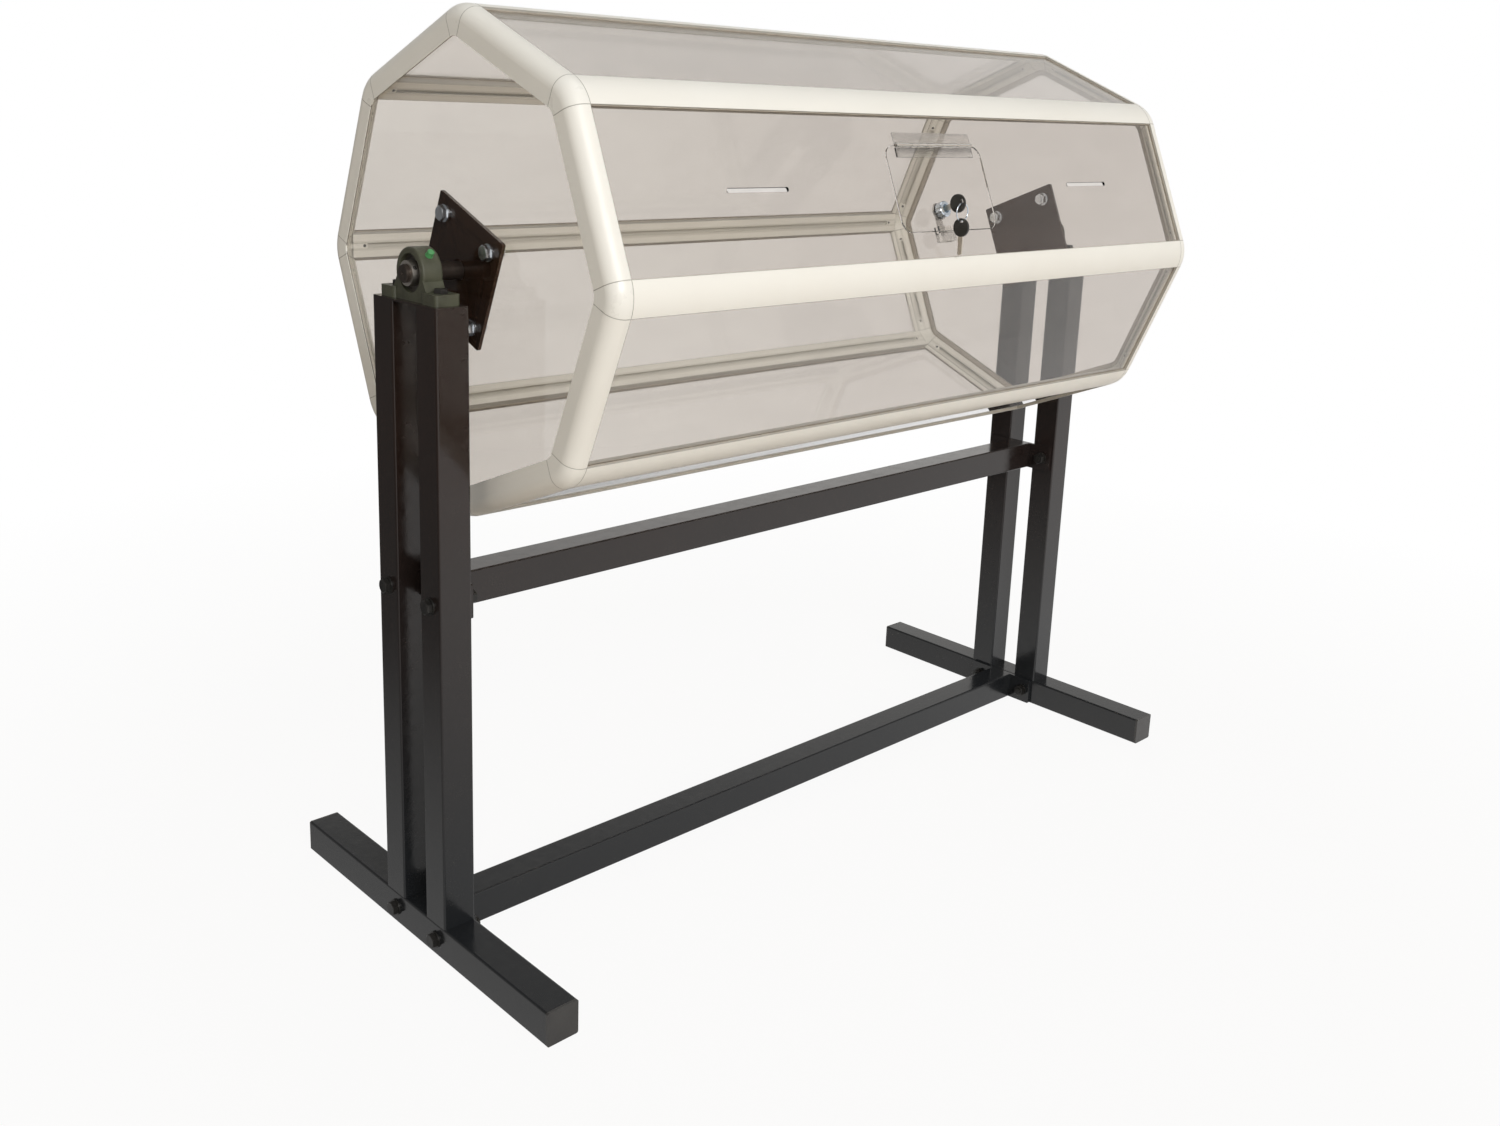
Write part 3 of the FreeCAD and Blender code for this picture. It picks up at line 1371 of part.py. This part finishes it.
build_feet()
build_posts()
build_beams()
build_block_seats()
build_housings()
build_grease_nipples()
build_inserts()
build_shafts()
build_end_plates()
build_rails()
build_ring_bars()
build_connectors()
build_side_panels()
build_end_panels()
build_gaskets()
build_catch()
build_flap()
build_hinge()
build_lock()
build_keys()
doc.recompute()

for item in doc.Objects:
    if "Invalid" in item.State or "Error" in item.State:
        raise RuntimeError(f"{item.Label}: {item.State}")
for item in NODES:
    if item.Shape.isNull() or not item.Shape.isValid() or not item.Shape.Solids:
        raise RuntimeError(f"{item.Label}: no valid shape")

os.makedirs("parts", exist_ok=True)
for item in NODES:
    item.Shape.exportStep(os.path.join("parts", f"{item.Label}.step"))
    print(f"{item.Label}: {len(item.Shape.Solids)} solids, {item.Shape.Volume / 1000.0:.1f} cm3")
print(f"{len(NODES)} nodes")
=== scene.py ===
import math

import bpy
from mathutils import Matrix, Vector


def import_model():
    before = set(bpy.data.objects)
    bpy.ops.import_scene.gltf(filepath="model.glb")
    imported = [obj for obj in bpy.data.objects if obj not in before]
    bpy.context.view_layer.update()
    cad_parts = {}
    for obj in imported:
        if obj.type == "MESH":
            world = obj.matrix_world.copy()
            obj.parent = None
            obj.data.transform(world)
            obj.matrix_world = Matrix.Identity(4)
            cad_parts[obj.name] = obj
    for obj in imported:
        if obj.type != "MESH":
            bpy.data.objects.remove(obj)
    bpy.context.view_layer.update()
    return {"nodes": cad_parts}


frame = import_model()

NODES = frame["nodes"]

# The drum, in metres. Its axis runs along X, and it is the same on both sides of X = 0.
SIDES = 8
DRUM_AXIS = 0.9745  # the axis over the floor
SHADE_TINT_REACH = 0.65  # the panels' change of tint, a painted shade, runs over this length to each side
APOTHEM = 0.325  # from the axis to a flat side
END_X = 0.6545  # outer face of an end ring
SEAM_X = 0.6275  # joint of a rail and a corner connector
SEAM_HALF = 0.10882  # joint of a ring bar and a corner connector, off the side's middle
RING_LIP = 0.042  # edge of an end ring's outer lip, below the flat side
RING_GROOVE_MIDDLE = 0.02105  # mouth of a ring bar's groove, inwards and below the flat side
RAIL_FACE = 0.32782  # inner face of a rail, from the axis

# The dark lines on it, in metres. A half is half a line's width, and a fade is its soft border.
GROOVE_HALF, GROOVE_FADE = 0.0072, 0.0001
GROOVE_DEPTH, GROOVE_DEPTH_FADE = 0.0066, 0.0004
SEAM_LINE_HALF, SEAM_FADE = 0.0004, 0.0003
LIP_LINE_HALF, LIP_FADE = 0.0003, 0.0001
LIP_INNER, LIP_INNER_HALF, LIP_INNER_FADE = 0.0018, 0.0008, 0.0002

# How far each kind of line in the ivory profiles goes towards its dark colour. The groove and lip
# colours are painted shade; the seams are dark joints.
GROOVE_SHADE_SHARE, GROOVE_SHADE = 0.30, (0.33, 0.30, 0.24)
LIP_SHADE_SHARE, LIP_SHADE = 0.85, (0.12, 0.10, 0.075)
SEAM_SHARE, SEAM_DARK = 0.55, (0.10, 0.085, 0.06)

# Gloss paint: a painted reflection, the tubes change to their low colour between these heights, in
# metres
REFLECTION_LOW_FROM, REFLECTION_LOW_TO = 0.12, 0.72
DUST = (0.032, 0.030, 0.027)
ORANGE_PEEL = 2.5  # strength of the peel for each unit of spread in roughness

# Cast iron
CAST_LIGHT = (0.080, 0.083, 0.052)
CAST_DARK = (0.052, 0.053, 0.034)
CAST_WORN = (0.12, 0.125, 0.09)

# Clear sheets
BLACK = (0.0, 0.0, 0.0)
SMEAR_SHARE = 0.03
LAMPS_PASS = (0.975, 0.97, 0.96, 1.0)

# The photograph's camera, solved from points on the stand and the drum. Rows are in pixels.
PHOTO_WIDTH = 1500
MIDDLE_ROW = 563.0
OPTICAL_ROW = 438.2
FOCAL_PIXELS = 1406.05
SENSOR = 36.0
CAMERA_PLACE = (-1.6778, -1.6403, 1.2030)
CAMERA_ANGLES = (44.025, -13.256, 2.149)  # yaw, pitch and roll in degrees
CAMERA_NEAR, CAMERA_FAR = 0.05, 100.0

# The world as colour and strength: what lights, what the camera sees, what gloss mirrors
AMBIENT = ((1.0, 0.965, 0.900), 0.35)
WHITE = ((1.0, 1.0, 1.0), 1.0)
WALL = ((1.0, 0.985, 0.96), 1.0)

# The floor
FLOOR_REACH = 40.0
FLOOR_DROP = -0.0005
FLOOR_MATT = (0.60, 0.53, 0.45, 1.0)


# ---------------------------------------------------------------- node helpers

class Nodes:
    """A node tree that is built anew."""

    def __init__(self, tree):
        self.tree = tree
        self.tree.nodes.clear()

    def add(self, kind, **settings):
        node = self.tree.nodes.new("ShaderNode" + kind)
        for name, value in settings.items():
            setattr(node, name, value)
        return node

    def join(self, source, target):
        self.tree.links.new(source, target)

    def feed(self, target, value):
        """Link an output to a socket, or set the socket to a plain value."""
        if isinstance(value, bpy.types.NodeSocket):
            self.join(value, target)
        elif isinstance(value, tuple) and len(target.default_value) == 4:
            target.default_value = (*value, 1.0)
        else:
            target.default_value = value

    def math(self, operation, first, second=None):
        node = self.add("Math", operation=operation)
        self.feed(node.inputs[0], first)
        if second is not None:
            self.feed(node.inputs[1], second)
        return node.outputs[0]

    def span(self, value, low=0.0, high=1.0, start=0.3, stop=0.7):
        """Map a value from start..stop to low..high, held at both ends."""
        node = self.add("MapRange")
        ends = {"From Min": start, "From Max": stop, "To Min": low, "To Max": high}
        for name, number in ends.items():
            node.inputs[name].default_value = number
        self.join(value, node.inputs["Value"])
        return node.outputs["Result"]

    def split(self, place):
        """The X, Y and Z of a vector."""
        node = self.add("SeparateXYZ")
        self.join(place, node.inputs[0])
        return node.outputs

    def mix(self, share, first, second):
        """A shader between two shaders."""
        node = self.add("MixShader")
        for target, value in zip(node.inputs, (share, first, second)):
            self.join(value, target)
        return node.outputs[0]

    def show(self, shader, to_rays, instead_of):
        """One shader for the rays of some kinds, and another for all others."""
        paths = self.add("LightPath")
        last = instead_of
        for ray in to_rays:
            last = self.mix(paths.outputs[ray], last, shader)
        return last


class Material(Nodes):
    """A node material with one Principled shader, built up layer by layer."""

    def __init__(self, name):
        self.material = bpy.data.materials.new(name)
        self.material.use_nodes = True
        super().__init__(self.material.node_tree)
        self.out = self.add("OutputMaterial")
        self.shader = self.add("BsdfPrincipled")
        self.join(self.shader.outputs[0], self.out.inputs["Surface"])
        self.place = self.add("TexCoord").outputs["Object"]

    def axis(self, letter):
        return self.split(self.place)[letter]

    def noise(self, scale, detail, roughness=0.5, stretch=None):
        """Noise from 0 to 1. scale is in features per metre, times stretch along each axis."""
        node = self.add("TexNoise", noise_dimensions="3D")
        node.inputs["Scale"].default_value = scale
        node.inputs["Detail"].default_value = detail
        node.inputs["Roughness"].default_value = roughness
        place = self.place
        if stretch:
            mapping = self.add("Mapping")
            mapping.inputs["Scale"].default_value = stretch
            self.join(self.place, mapping.inputs["Vector"])
            place = mapping.outputs[0]
        self.join(place, node.inputs["Vector"])
        return node.outputs["Fac"]

    def blend(self, share, first, second):
        """A colour between two colours."""
        node = self.add("Mix", data_type="RGBA")
        self.feed(node.inputs[0], share)
        self.feed(node.inputs[6], first)
        self.feed(node.inputs[7], second)
        return node.outputs[2]

    def shade(self, mask, share, colour, dark):
        """The colour, moved by a share towards the dark one where the mask is 1."""
        return self.blend(self.math("MULTIPLY", mask, share), colour, dark)

    def mottle(self, light, dark, scale, detail, roughness=0.5):
        """A colour that wanders between light and dark."""
        return self.blend(self.span(self.noise(scale, detail, roughness)), light, dark)

    def line(self, value, at, half_width, soft):
        """1 where value is within half_width of at, fading to 0 over soft."""
        off = self.math("ABSOLUTE", self.math("SUBTRACT", value, at))
        return self.span(off, low=1.0, high=0.0, start=half_width, stop=half_width + soft)

    def bump(self, height, distance, strength):
        """Add a height map on top of the ones there are. distance is in metres."""
        node = self.add("Bump")
        node.inputs["Distance"].default_value = distance
        node.inputs["Strength"].default_value = strength
        self.join(height, node.inputs["Height"])
        normal = self.shader.inputs["Normal"]
        if normal.is_linked:
            self.join(normal.links[0].from_socket, node.inputs["Normal"])
        self.join(node.outputs[0], normal)

    def set(self, **values):
        for name, value in values.items():
            self.feed(self.shader.inputs[name.replace("_", " ")], value)


class DrumPlace:
    """Where a point of the drum lies, as outputs in metres."""

    def __init__(self, m):
        self.m = m
        step = 2 * math.pi / SIDES

        def off_middle(turn):
            """The angle off the middle of the eighth of a turn that it lies in."""
            return m.math("SUBTRACT", m.math("MODULO", turn, step), step / 2)

        y = m.axis("Y")
        z = m.math("SUBTRACT", m.axis("Z"), DRUM_AXIS)
        radius = m.math("SQRT", m.math("ADD", m.math("MULTIPLY", y, y), m.math("MULTIPLY", z, z)))
        angle = m.math("ADD", m.math("ARCTAN2", z, y), SIDES * step)
        from_side = off_middle(angle)
        from_vertex = off_middle(m.math("ADD", angle, step / 2))
        out_side = m.math("MULTIPLY", radius, m.math("COSINE", from_side))
        self.inward = m.math("SUBTRACT", END_X, m.math("ABSOLUTE", m.axis("X")))
        self.down = m.math("SUBTRACT", APOTHEM, out_side)
        self.along_side = self.off_plane(radius, from_side)
        self.off_vertex = self.off_plane(radius, from_vertex)
        self.out_vertex = m.math("MULTIPLY", radius, m.math("COSINE", from_vertex))

    def off_plane(self, radius, angle):
        """The distance off the plane through the axis that the angle is measured from."""
        m = self.m
        return m.math("ABSOLUTE", m.math("MULTIPLY", radius, m.math("SINE", angle)))

    def seams(self):
        """1 on the joints between the profiles and their corner connectors."""
        m = self.m
        bars = m.line(self.along_side, SEAM_HALF, SEAM_LINE_HALF, SEAM_FADE)
        rails = m.line(self.inward, END_X - SEAM_X, SEAM_LINE_HALF, SEAM_FADE)
        return m.math("MAXIMUM", bars, rails)

    def groove(self, across, depth, mouth):
        """1 inside a T-groove that opens at mouth and runs towards greater depth."""
        m = self.m
        half = GROOVE_DEPTH / 2
        in_width = m.line(across, 0.0, GROOVE_HALF, GROOVE_FADE)
        in_depth = m.line(depth, mouth + half, half - GROOVE_FADE, GROOVE_DEPTH_FADE)
        return m.math("MULTIPLY", in_width, in_depth)

    def grooves(self):
        """1 inside the T-grooves of the rails and of the ring bars, where shade is painted."""
        m = self.m
        rail = self.groove(self.off_vertex, self.out_vertex, RAIL_FACE)
        slant = m.math("MULTIPLY", m.math("SUBTRACT", self.inward, self.down), math.sqrt(0.5))
        from_edge = m.math("MULTIPLY", m.math("ADD", self.inward, self.down), math.sqrt(0.5))
        depth = m.math("SUBTRACT", RING_GROOVE_MIDDLE * math.sqrt(2.0), from_edge)
        ring = self.groove(slant, depth, 0.0)
        near_end = m.line(self.inward, 0.0, END_X - SEAM_X, GROOVE_DEPTH_FADE)
        return m.math("MAXIMUM", rail, m.math("MULTIPLY", ring, near_end))

    def lip_edge(self):
        """1 on the inner half of the end lip's edge, which lies in the panel's shade."""
        m = self.m
        edge = m.line(self.down, RING_LIP, LIP_LINE_HALF, LIP_FADE)
        inner_half = m.line(self.inward, LIP_INNER, LIP_INNER_HALF, LIP_INNER_FADE)
        return m.math("MULTIPLY", edge, inner_half)


# ---------------------------------------------------------------- materials

def ivory(name, light, dark, rough, grooved=False):
    """Satin powder coat on aluminium. Joints are darker, and grooves and the end lips' edges get
    painted shade.
    """
    m = Material(name)
    place = DrumPlace(m)
    joint = place.seams()
    colour = m.mottle(light, dark, scale=5.0, detail=3.0)
    if grooved:
        # painted shade inside the grooves
        colour = m.shade(place.grooves(), GROOVE_SHADE_SHARE, colour, GROOVE_SHADE)
    # painted shade along the end lips' edges
    colour = m.shade(place.lip_edge(), LIP_SHADE_SHARE, colour, LIP_SHADE)
    colour = m.shade(joint, SEAM_SHARE, colour, SEAM_DARK)
    satin = m.span(m.noise(scale=40.0, detail=4.0), low=rough - 0.05, high=rough + 0.08)
    m.set(Base_Color=colour, Roughness=satin, IOR=1.5)
    m.bump(m.noise(scale=900.0, detail=2.0), distance=0.00006, strength=0.5)
    m.bump(m.math("SUBTRACT", 1.0, joint), distance=0.0004, strength=0.8)
    return m.material


def gloss_black(name, light, dark, gloss, rough=0.10, spread=0.14, low=None):
    """Glossy black enamel with orange peel, faint dust and a painted reflection: colour low near
    the floor.
    """
    m = Material(name)
    dust = m.span(m.noise(scale=30.0, detail=6.0, roughness=0.65), high=0.3, start=0.55, stop=0.85)
    colour = m.mottle(light, dark, scale=4.0, detail=2.0)
    # painted reflection: the colour turns to the darker, bluer low colour near the floor
    if low:
        painted_reflection_low = m.span(m.axis("Z"), low=1.0, high=0.0, start=REFLECTION_LOW_FROM, stop=REFLECTION_LOW_TO)
        colour = m.blend(painted_reflection_low, colour, low)
    wipes = m.noise(scale=60.0, detail=5.0, roughness=0.6)
    m.set(Base_Color=m.blend(dust, colour, DUST), IOR=1.5, Specular_Tint=gloss,
          Roughness=m.span(wipes, low=rough, high=rough + spread))
    peel = m.noise(scale=140.0, detail=2.0)
    m.bump(peel, distance=0.00025, strength=ORANGE_PEEL * spread)
    return m.material


def metal(name, light, dark, rough, spread=0.12, stretch=None, metallic=1.0):
    """Turned, drawn or plated metal. A stretch under 1 draws its grain out along that axis."""
    m = Material(name)
    grain = m.noise(scale=400.0, detail=4.0, roughness=0.6, stretch=stretch)
    m.set(Base_Color=m.mottle(light, dark, scale=100.0, detail=4.0, roughness=0.6),
          Metallic=metallic, Roughness=m.span(grain, low=rough, high=rough + spread))
    m.bump(grain, distance=0.00004, strength=0.6)
    return m.material


def cast_iron(name):
    """Olive enamel over a sand casting."""
    m = Material(name)
    colour = m.mottle(CAST_LIGHT, CAST_DARK, scale=35.0, detail=4.0)
    worn = m.noise(scale=220.0, detail=5.0, roughness=0.7)
    worn = m.span(worn, high=0.5, start=0.62, stop=0.8)
    m.set(Base_Color=m.blend(worn, colour, CAST_WORN),
          Roughness=m.span(m.noise(scale=150.0, detail=4.0), low=0.32, high=0.55))
    m.bump(m.noise(scale=420.0, detail=5.0, roughness=0.6), distance=0.0005, strength=0.5)
    return m.material


def plastic(name, light, dark, rough):
    """Moulded plastic or rubber."""
    m = Material(name)
    grain = m.noise(scale=300.0, detail=4.0)
    m.set(Base_Color=m.mottle(light, dark, scale=30.0, detail=3.0), IOR=1.48,
          Roughness=m.span(grain, low=rough, high=rough + 0.15))
    m.bump(m.noise(scale=600.0, detail=3.0), distance=0.0001, strength=0.5)
    return m.material


def clear(name, tint, rough=0.015, gloss=1.0, far_shade_tint=None):
    """Clear sheet that lets the lamps through, with faint smears in its gloss.

    With a far tint, the tint changes to it along X, as a painted shade across the sheets.
    """
    m = Material(name)
    smear = m.noise(scale=9.0, detail=4.0, roughness=0.6, stretch=(1.0, 1.0, 2.5))
    colour = tint
    # painted shade: the sheet's tint shifts along X
    if far_shade_tint:
        along = m.span(m.axis("X"), start=-SHADE_TINT_REACH, stop=SHADE_TINT_REACH)
        colour = m.blend(along, tint, far_shade_tint)
    m.set(Base_Color=m.shade(m.span(smear), SMEAR_SHARE, colour, BLACK), IOR=1.49,
          Transmission_Weight=1.0, Specular_Tint=(gloss, gloss, gloss),
          Roughness=m.span(smear, low=rough, high=rough + 0.03, start=0.45, stop=0.8))
    m.bump(m.noise(scale=6.0, detail=2.0), distance=0.0004, strength=0.25)
    passing = m.add("BsdfTransparent")
    passing.inputs["Color"].default_value = LAMPS_PASS
    last = m.show(passing.outputs[0], to_rays=("Is Diffuse Ray", "Is Shadow Ray"),
                  instead_of=m.shader.outputs[0])
    m.join(last, m.out.inputs["Surface"])
    return m.material


IVORY = ivory(
    "ivory_powder_coat", light=(0.865, 0.85, 0.795), dark=(0.84, 0.82, 0.76), rough=0.36,
    grooved=True)
IVORY_CASTING = ivory(
    "ivory_casting", light=(0.87, 0.857, 0.805), dark=(0.845, 0.83, 0.77), rough=0.30)
# The change from the brown above to the bluer low colour near the floor is a painted reflection.
TUBE = gloss_black(
    "black_gloss_paint", light=(0.022, 0.0125, 0.0095), dark=(0.015, 0.009, 0.007),
    gloss=(1.0, 0.98, 0.96), low=(0.0145, 0.0160, 0.0180))
PLATE = gloss_black(
    "black_plate_paint", light=(0.043, 0.025, 0.017), dark=(0.029, 0.017, 0.012),
    gloss=(1.0, 0.68, 0.52), rough=0.04, spread=0.03)
BLACK_BOLT = metal(
    "black_bolt", light=(0.035, 0.033, 0.030), dark=(0.018, 0.017, 0.016), rough=0.28,
    metallic=0.4)
ZINC = metal("zinc_bolt", light=(0.80, 0.82, 0.85), dark=(0.66, 0.68, 0.70), rough=0.16)
STEEL = metal("bearing_steel", light=(0.66, 0.61, 0.55), dark=(0.46, 0.42, 0.38), rough=0.34)
SHAFT = metal(
    "shaft_black", light=(0.075, 0.058, 0.048), dark=(0.048, 0.038, 0.031), rough=0.27,
    stretch=(0.1, 1, 1), metallic=0.7)
CAST = cast_iron("green_cast_iron")
BRASS = metal("nipple_brass", light=(0.70, 0.52, 0.24), dark=(0.55, 0.40, 0.18), rough=0.25)
CAP_GREEN = plastic("nipple_green", light=(0.10, 0.34, 0.13), dark=(0.065, 0.26, 0.09), rough=0.28)
FOOT_PLASTIC = plastic(
    "foot_cap_plastic", light=(0.050, 0.048, 0.046), dark=(0.040, 0.038, 0.037), rough=0.30)
SEAL = plastic("seal_black", light=(0.050, 0.044, 0.038), dark=(0.034, 0.030, 0.026), rough=0.30)
SCREW = metal("dark_screw", light=(0.16, 0.15, 0.14), dark=(0.09, 0.085, 0.08), rough=0.35)
RUBBER = plastic("gasket_rubber", light=(0.55, 0.50, 0.43), dark=(0.46, 0.41, 0.35), rough=0.55)
CHROME = metal(
    "chrome", light=(0.66, 0.71, 0.76), dark=(0.55, 0.60, 0.66), rough=0.06, spread=0.06)
# The plug's dark blue-grey is a painted reflection of dark, bluish surroundings.
LOCK_FACE_REFLECTION = metal(
    "lock_face_painted_reflection", light=(0.20, 0.27, 0.33), dark=(0.13, 0.18, 0.24), rough=0.08, spread=0.06)
LOCK_STEEL = metal("lock_steel", light=(0.60, 0.58, 0.55), dark=(0.46, 0.44, 0.42), rough=0.22)
PIN = metal("hinge_pin_wire", light=(0.52, 0.46, 0.39), dark=(0.40, 0.35, 0.29), rough=0.35)
KEY_PLASTIC = plastic(
    "key_plastic", light=(0.030, 0.029, 0.024), dark=(0.022, 0.021, 0.018), rough=0.35)
KEY_METAL = metal(
    "key_metal", light=(0.62, 0.56, 0.48), dark=(0.50, 0.45, 0.38), rough=0.25,
    stretch=(1, 1, 0.1))
# Painted shade: the acrylic's tint darkens the sheets for the shaded room seen through them, and
# its far tint makes them darker towards +X.
ACRYLIC = clear(
    "clear_acrylic", tint=(0.81, 0.78, 0.745), gloss=0.45, far_shade_tint=(0.748, 0.711, 0.677))
HINGE = clear("hinge_plastic", tint=(0.985, 0.975, 0.955), rough=0.012, gloss=0.5)
CATCH = clear("catch_acrylic", tint=(0.93, 0.92, 0.90), rough=0.012)

FINISH = {
    TUBE: ["foot_left", "foot_right", "post_left_front", "post_left_back", "post_right_front",
           "post_right_back", "lower_beam", "upper_beam", "beam_flanges", "bearing_seats"],
    FOOT_PLASTIC: ["foot_end_caps"],
    PLATE: ["end_plate_left", "end_plate_right"],
    BLACK_BOLT: ["beam_bolts", "beam_washers", "beam_nuts", "bearing_bolts"],
    ZINC: ["plate_bolts", "plate_washers", "plate_nuts"],
    CAST: ["bearing_housing_left", "bearing_housing_right"],
    SEAL: ["bearing_outer_rings"],
    STEEL: ["bearing_inner_rings"],
    SCREW: ["set_screws", "connector_screws"],
    SHAFT: ["shaft_left", "shaft_right"],
    BRASS: ["grease_nipples"],
    CAP_GREEN: ["nipple_caps"],
    IVORY: ["rail_top", "rail_front_top", "rail_front", "rail_front_low", "rail_bottom",
            "rail_back_low", "rail_back", "rail_back_top", "ring_bars_left", "ring_bars_right"],
    IVORY_CASTING: ["corner_connectors_left", "corner_connectors_right"],
    ACRYLIC: ["panel_front_upper", "side_panels", "end_panels", "door_flap"],
    RUBBER: ["panel_gaskets"],
    CATCH: ["catch_block"],
    HINGE: ["hinge_fixed_leaf", "hinge_moving_leaf"],
    LOCK_STEEL: ["lock_nut", "lock_cam"],
    PIN: ["hinge_pin"],
    CHROME: ["lock_barrel", "key_ring"],
    LOCK_FACE_REFLECTION: ["lock_plug"],
    KEY_PLASTIC: ["lock_key_bow", "spare_key_bow"],
    KEY_METAL: ["lock_key_blade", "spare_key_blade"],
}
for material, names in FINISH.items():
    for name in names:
        piece = NODES[name]
        piece.data.materials.clear()
        piece.data.materials.append(material)
left_plain = set(NODES) - {name for names in FINISH.values() for name in names}
assert not left_plain, left_plain


# ---------------------------------------------------------------- camera

def camera():
    """The photograph's camera."""
    yaw, pitch, roll = (math.radians(angle) for angle in CAMERA_ANGLES)
    level = math.cos(pitch)
    forward = Vector((math.sin(yaw) * level, math.cos(yaw) * level, math.sin(pitch)))
    right = Vector((math.cos(yaw), -math.sin(yaw), 0.0))
    up = right.cross(forward)
    rolled_right = right * math.cos(roll) + up * math.sin(roll)
    rolled_up = up * math.cos(roll) - right * math.sin(roll)
    turn = Matrix((rolled_right, rolled_up, -forward)).transposed().to_4x4()
    data = bpy.data.cameras.new("camera")
    data.sensor_fit = "HORIZONTAL"
    data.sensor_width = SENSOR
    data.lens = SENSOR * FOCAL_PIXELS / PHOTO_WIDTH
    data.shift_y = -(MIDDLE_ROW - OPTICAL_ROW) / PHOTO_WIDTH
    data.clip_start = CAMERA_NEAR
    data.clip_end = CAMERA_FAR
    item = bpy.data.objects.new("camera", data)
    item.matrix_world = Matrix.Translation(CAMERA_PLACE) @ turn
    bpy.context.scene.collection.objects.link(item)
    bpy.context.scene.camera = item


camera()


# ---------------------------------------------------------------- light, floor and background

def lamp(name, place, target, size, power, mirrored=True):
    """A rectangular lamp. The camera and clear sheets never show it, and gloss if mirrored."""
    data = bpy.data.lights.new(name, "AREA")
    data.shape = "RECTANGLE"
    data.size, data.size_y = size
    data.energy = power
    item = bpy.data.objects.new(name, data)
    item.location = place
    aim = Vector(target) - Vector(place)
    item.rotation_euler = aim.to_track_quat("-Z", "Y").to_euler()
    item.visible_camera = False
    item.visible_transmission = False
    item.visible_glossy = mirrored
    bpy.context.scene.collection.objects.link(item)


lamp("key", place=(-2.4, -6.2, 3.9), target=(0.0, 0.0, 0.9), size=(4.2, 3.0), power=360.0)
lamp("top", place=(0.3, -0.6, 4.6), target=(0.0, 0.0, 0.9), size=(2.6, 2.0), power=12.0)
lamp("fill", place=(4.2, 3.6, 2.6), target=(0.0, 0.0, 0.8), size=(3.0, 2.4), power=85.0,
     mirrored=False)


def by_ray(light, mirrored, seen, others):
    """One shader for gloss, one for the camera and clear sheets, and one for all other rays."""
    last = light.show(mirrored, to_rays=("Is Glossy Ray",), instead_of=others)
    return light.show(seen, to_rays=("Is Transmission Ray", "Is Camera Ray"), instead_of=last)


def world():
    """Soft ambient light.

    The camera and clear sheets see white. Gloss mirrors a white wall, dimmer above and to the
    photograph's left.
    """
    item = bpy.data.worlds.new("studio")
    bpy.context.scene.world = item
    item.use_nodes = True
    light = Nodes(item.node_tree)
    backgrounds = []
    for colour, strength in (AMBIENT, WHITE, WALL):
        node = light.add("Background")
        light.feed(node.inputs["Color"], colour)
        light.feed(node.inputs["Strength"], strength)
        backgrounds.append(node)
    soft, white, wall = backgrounds
    place = light.split(light.add("TexCoord").outputs["Generated"])
    side = light.math("SUBTRACT", place["X"], place["Y"])
    above = light.span(place["Z"], low=1.0, high=0.33, start=0.28, stop=0.50)
    to_left = light.span(side, low=0.35, high=1.0, start=-1.2, stop=-0.2)
    light.feed(wall.inputs["Strength"], light.math("MULTIPLY", above, to_left))
    last = by_ray(light, wall.outputs[0], white.outputs[0], soft.outputs[0])
    light.join(last, light.add("OutputWorld").inputs[0])


world()


def floor():
    """Pale floor that keeps the object's shadow and fades to white further out. Gloss sees it as a
    glow that dims towards the back left, a painted shade.
    """
    mesh = bpy.data.meshes.new("floor")
    signs = ((-1, -1), (1, -1), (1, 1), (-1, 1))
    corners = [(x * FLOOR_REACH, y * FLOOR_REACH, 0) for x, y in signs]
    mesh.from_pydata(corners, [], [(0, 1, 2, 3)])
    item = bpy.data.objects.new("floor", mesh)
    item.location.z = FLOOR_DROP
    bpy.context.scene.collection.objects.link(item)
    material = bpy.data.materials.new("floor")
    material.use_nodes = True
    light = Nodes(material.node_tree)
    matt = light.add("BsdfDiffuse")
    matt.inputs["Color"].default_value = FLOOR_MATT
    white = light.add("Emission")
    mirrored = light.add("Emission")
    place = light.add("TexCoord").outputs["Object"]
    length = light.add("VectorMath", operation="LENGTH")
    light.join(place, length.inputs[0])
    share = light.span(length.outputs["Value"], low=0.93, high=1.0, start=1.0, stop=2.6)
    pale = light.mix(share, matt.outputs[0], white.outputs[0])
    # painted shade: what gloss mirrors of the floor glows dimmer towards the back left
    ground = light.split(place)
    side = light.math("SUBTRACT", ground["X"], ground["Y"])
    painted_shade_in_gloss = light.span(side, low=0.12, high=1.0, start=-2.4, stop=1.4)
    light.join(painted_shade_in_gloss, mirrored.inputs["Strength"])
    last = by_ray(light, mirrored.outputs[0], pale, matt.outputs[0])
    light.join(last, light.add("OutputMaterial").inputs["Surface"])
    mesh.materials.append(material)


floor()
bpy.context.scene.view_settings.view_transform = "Standard"
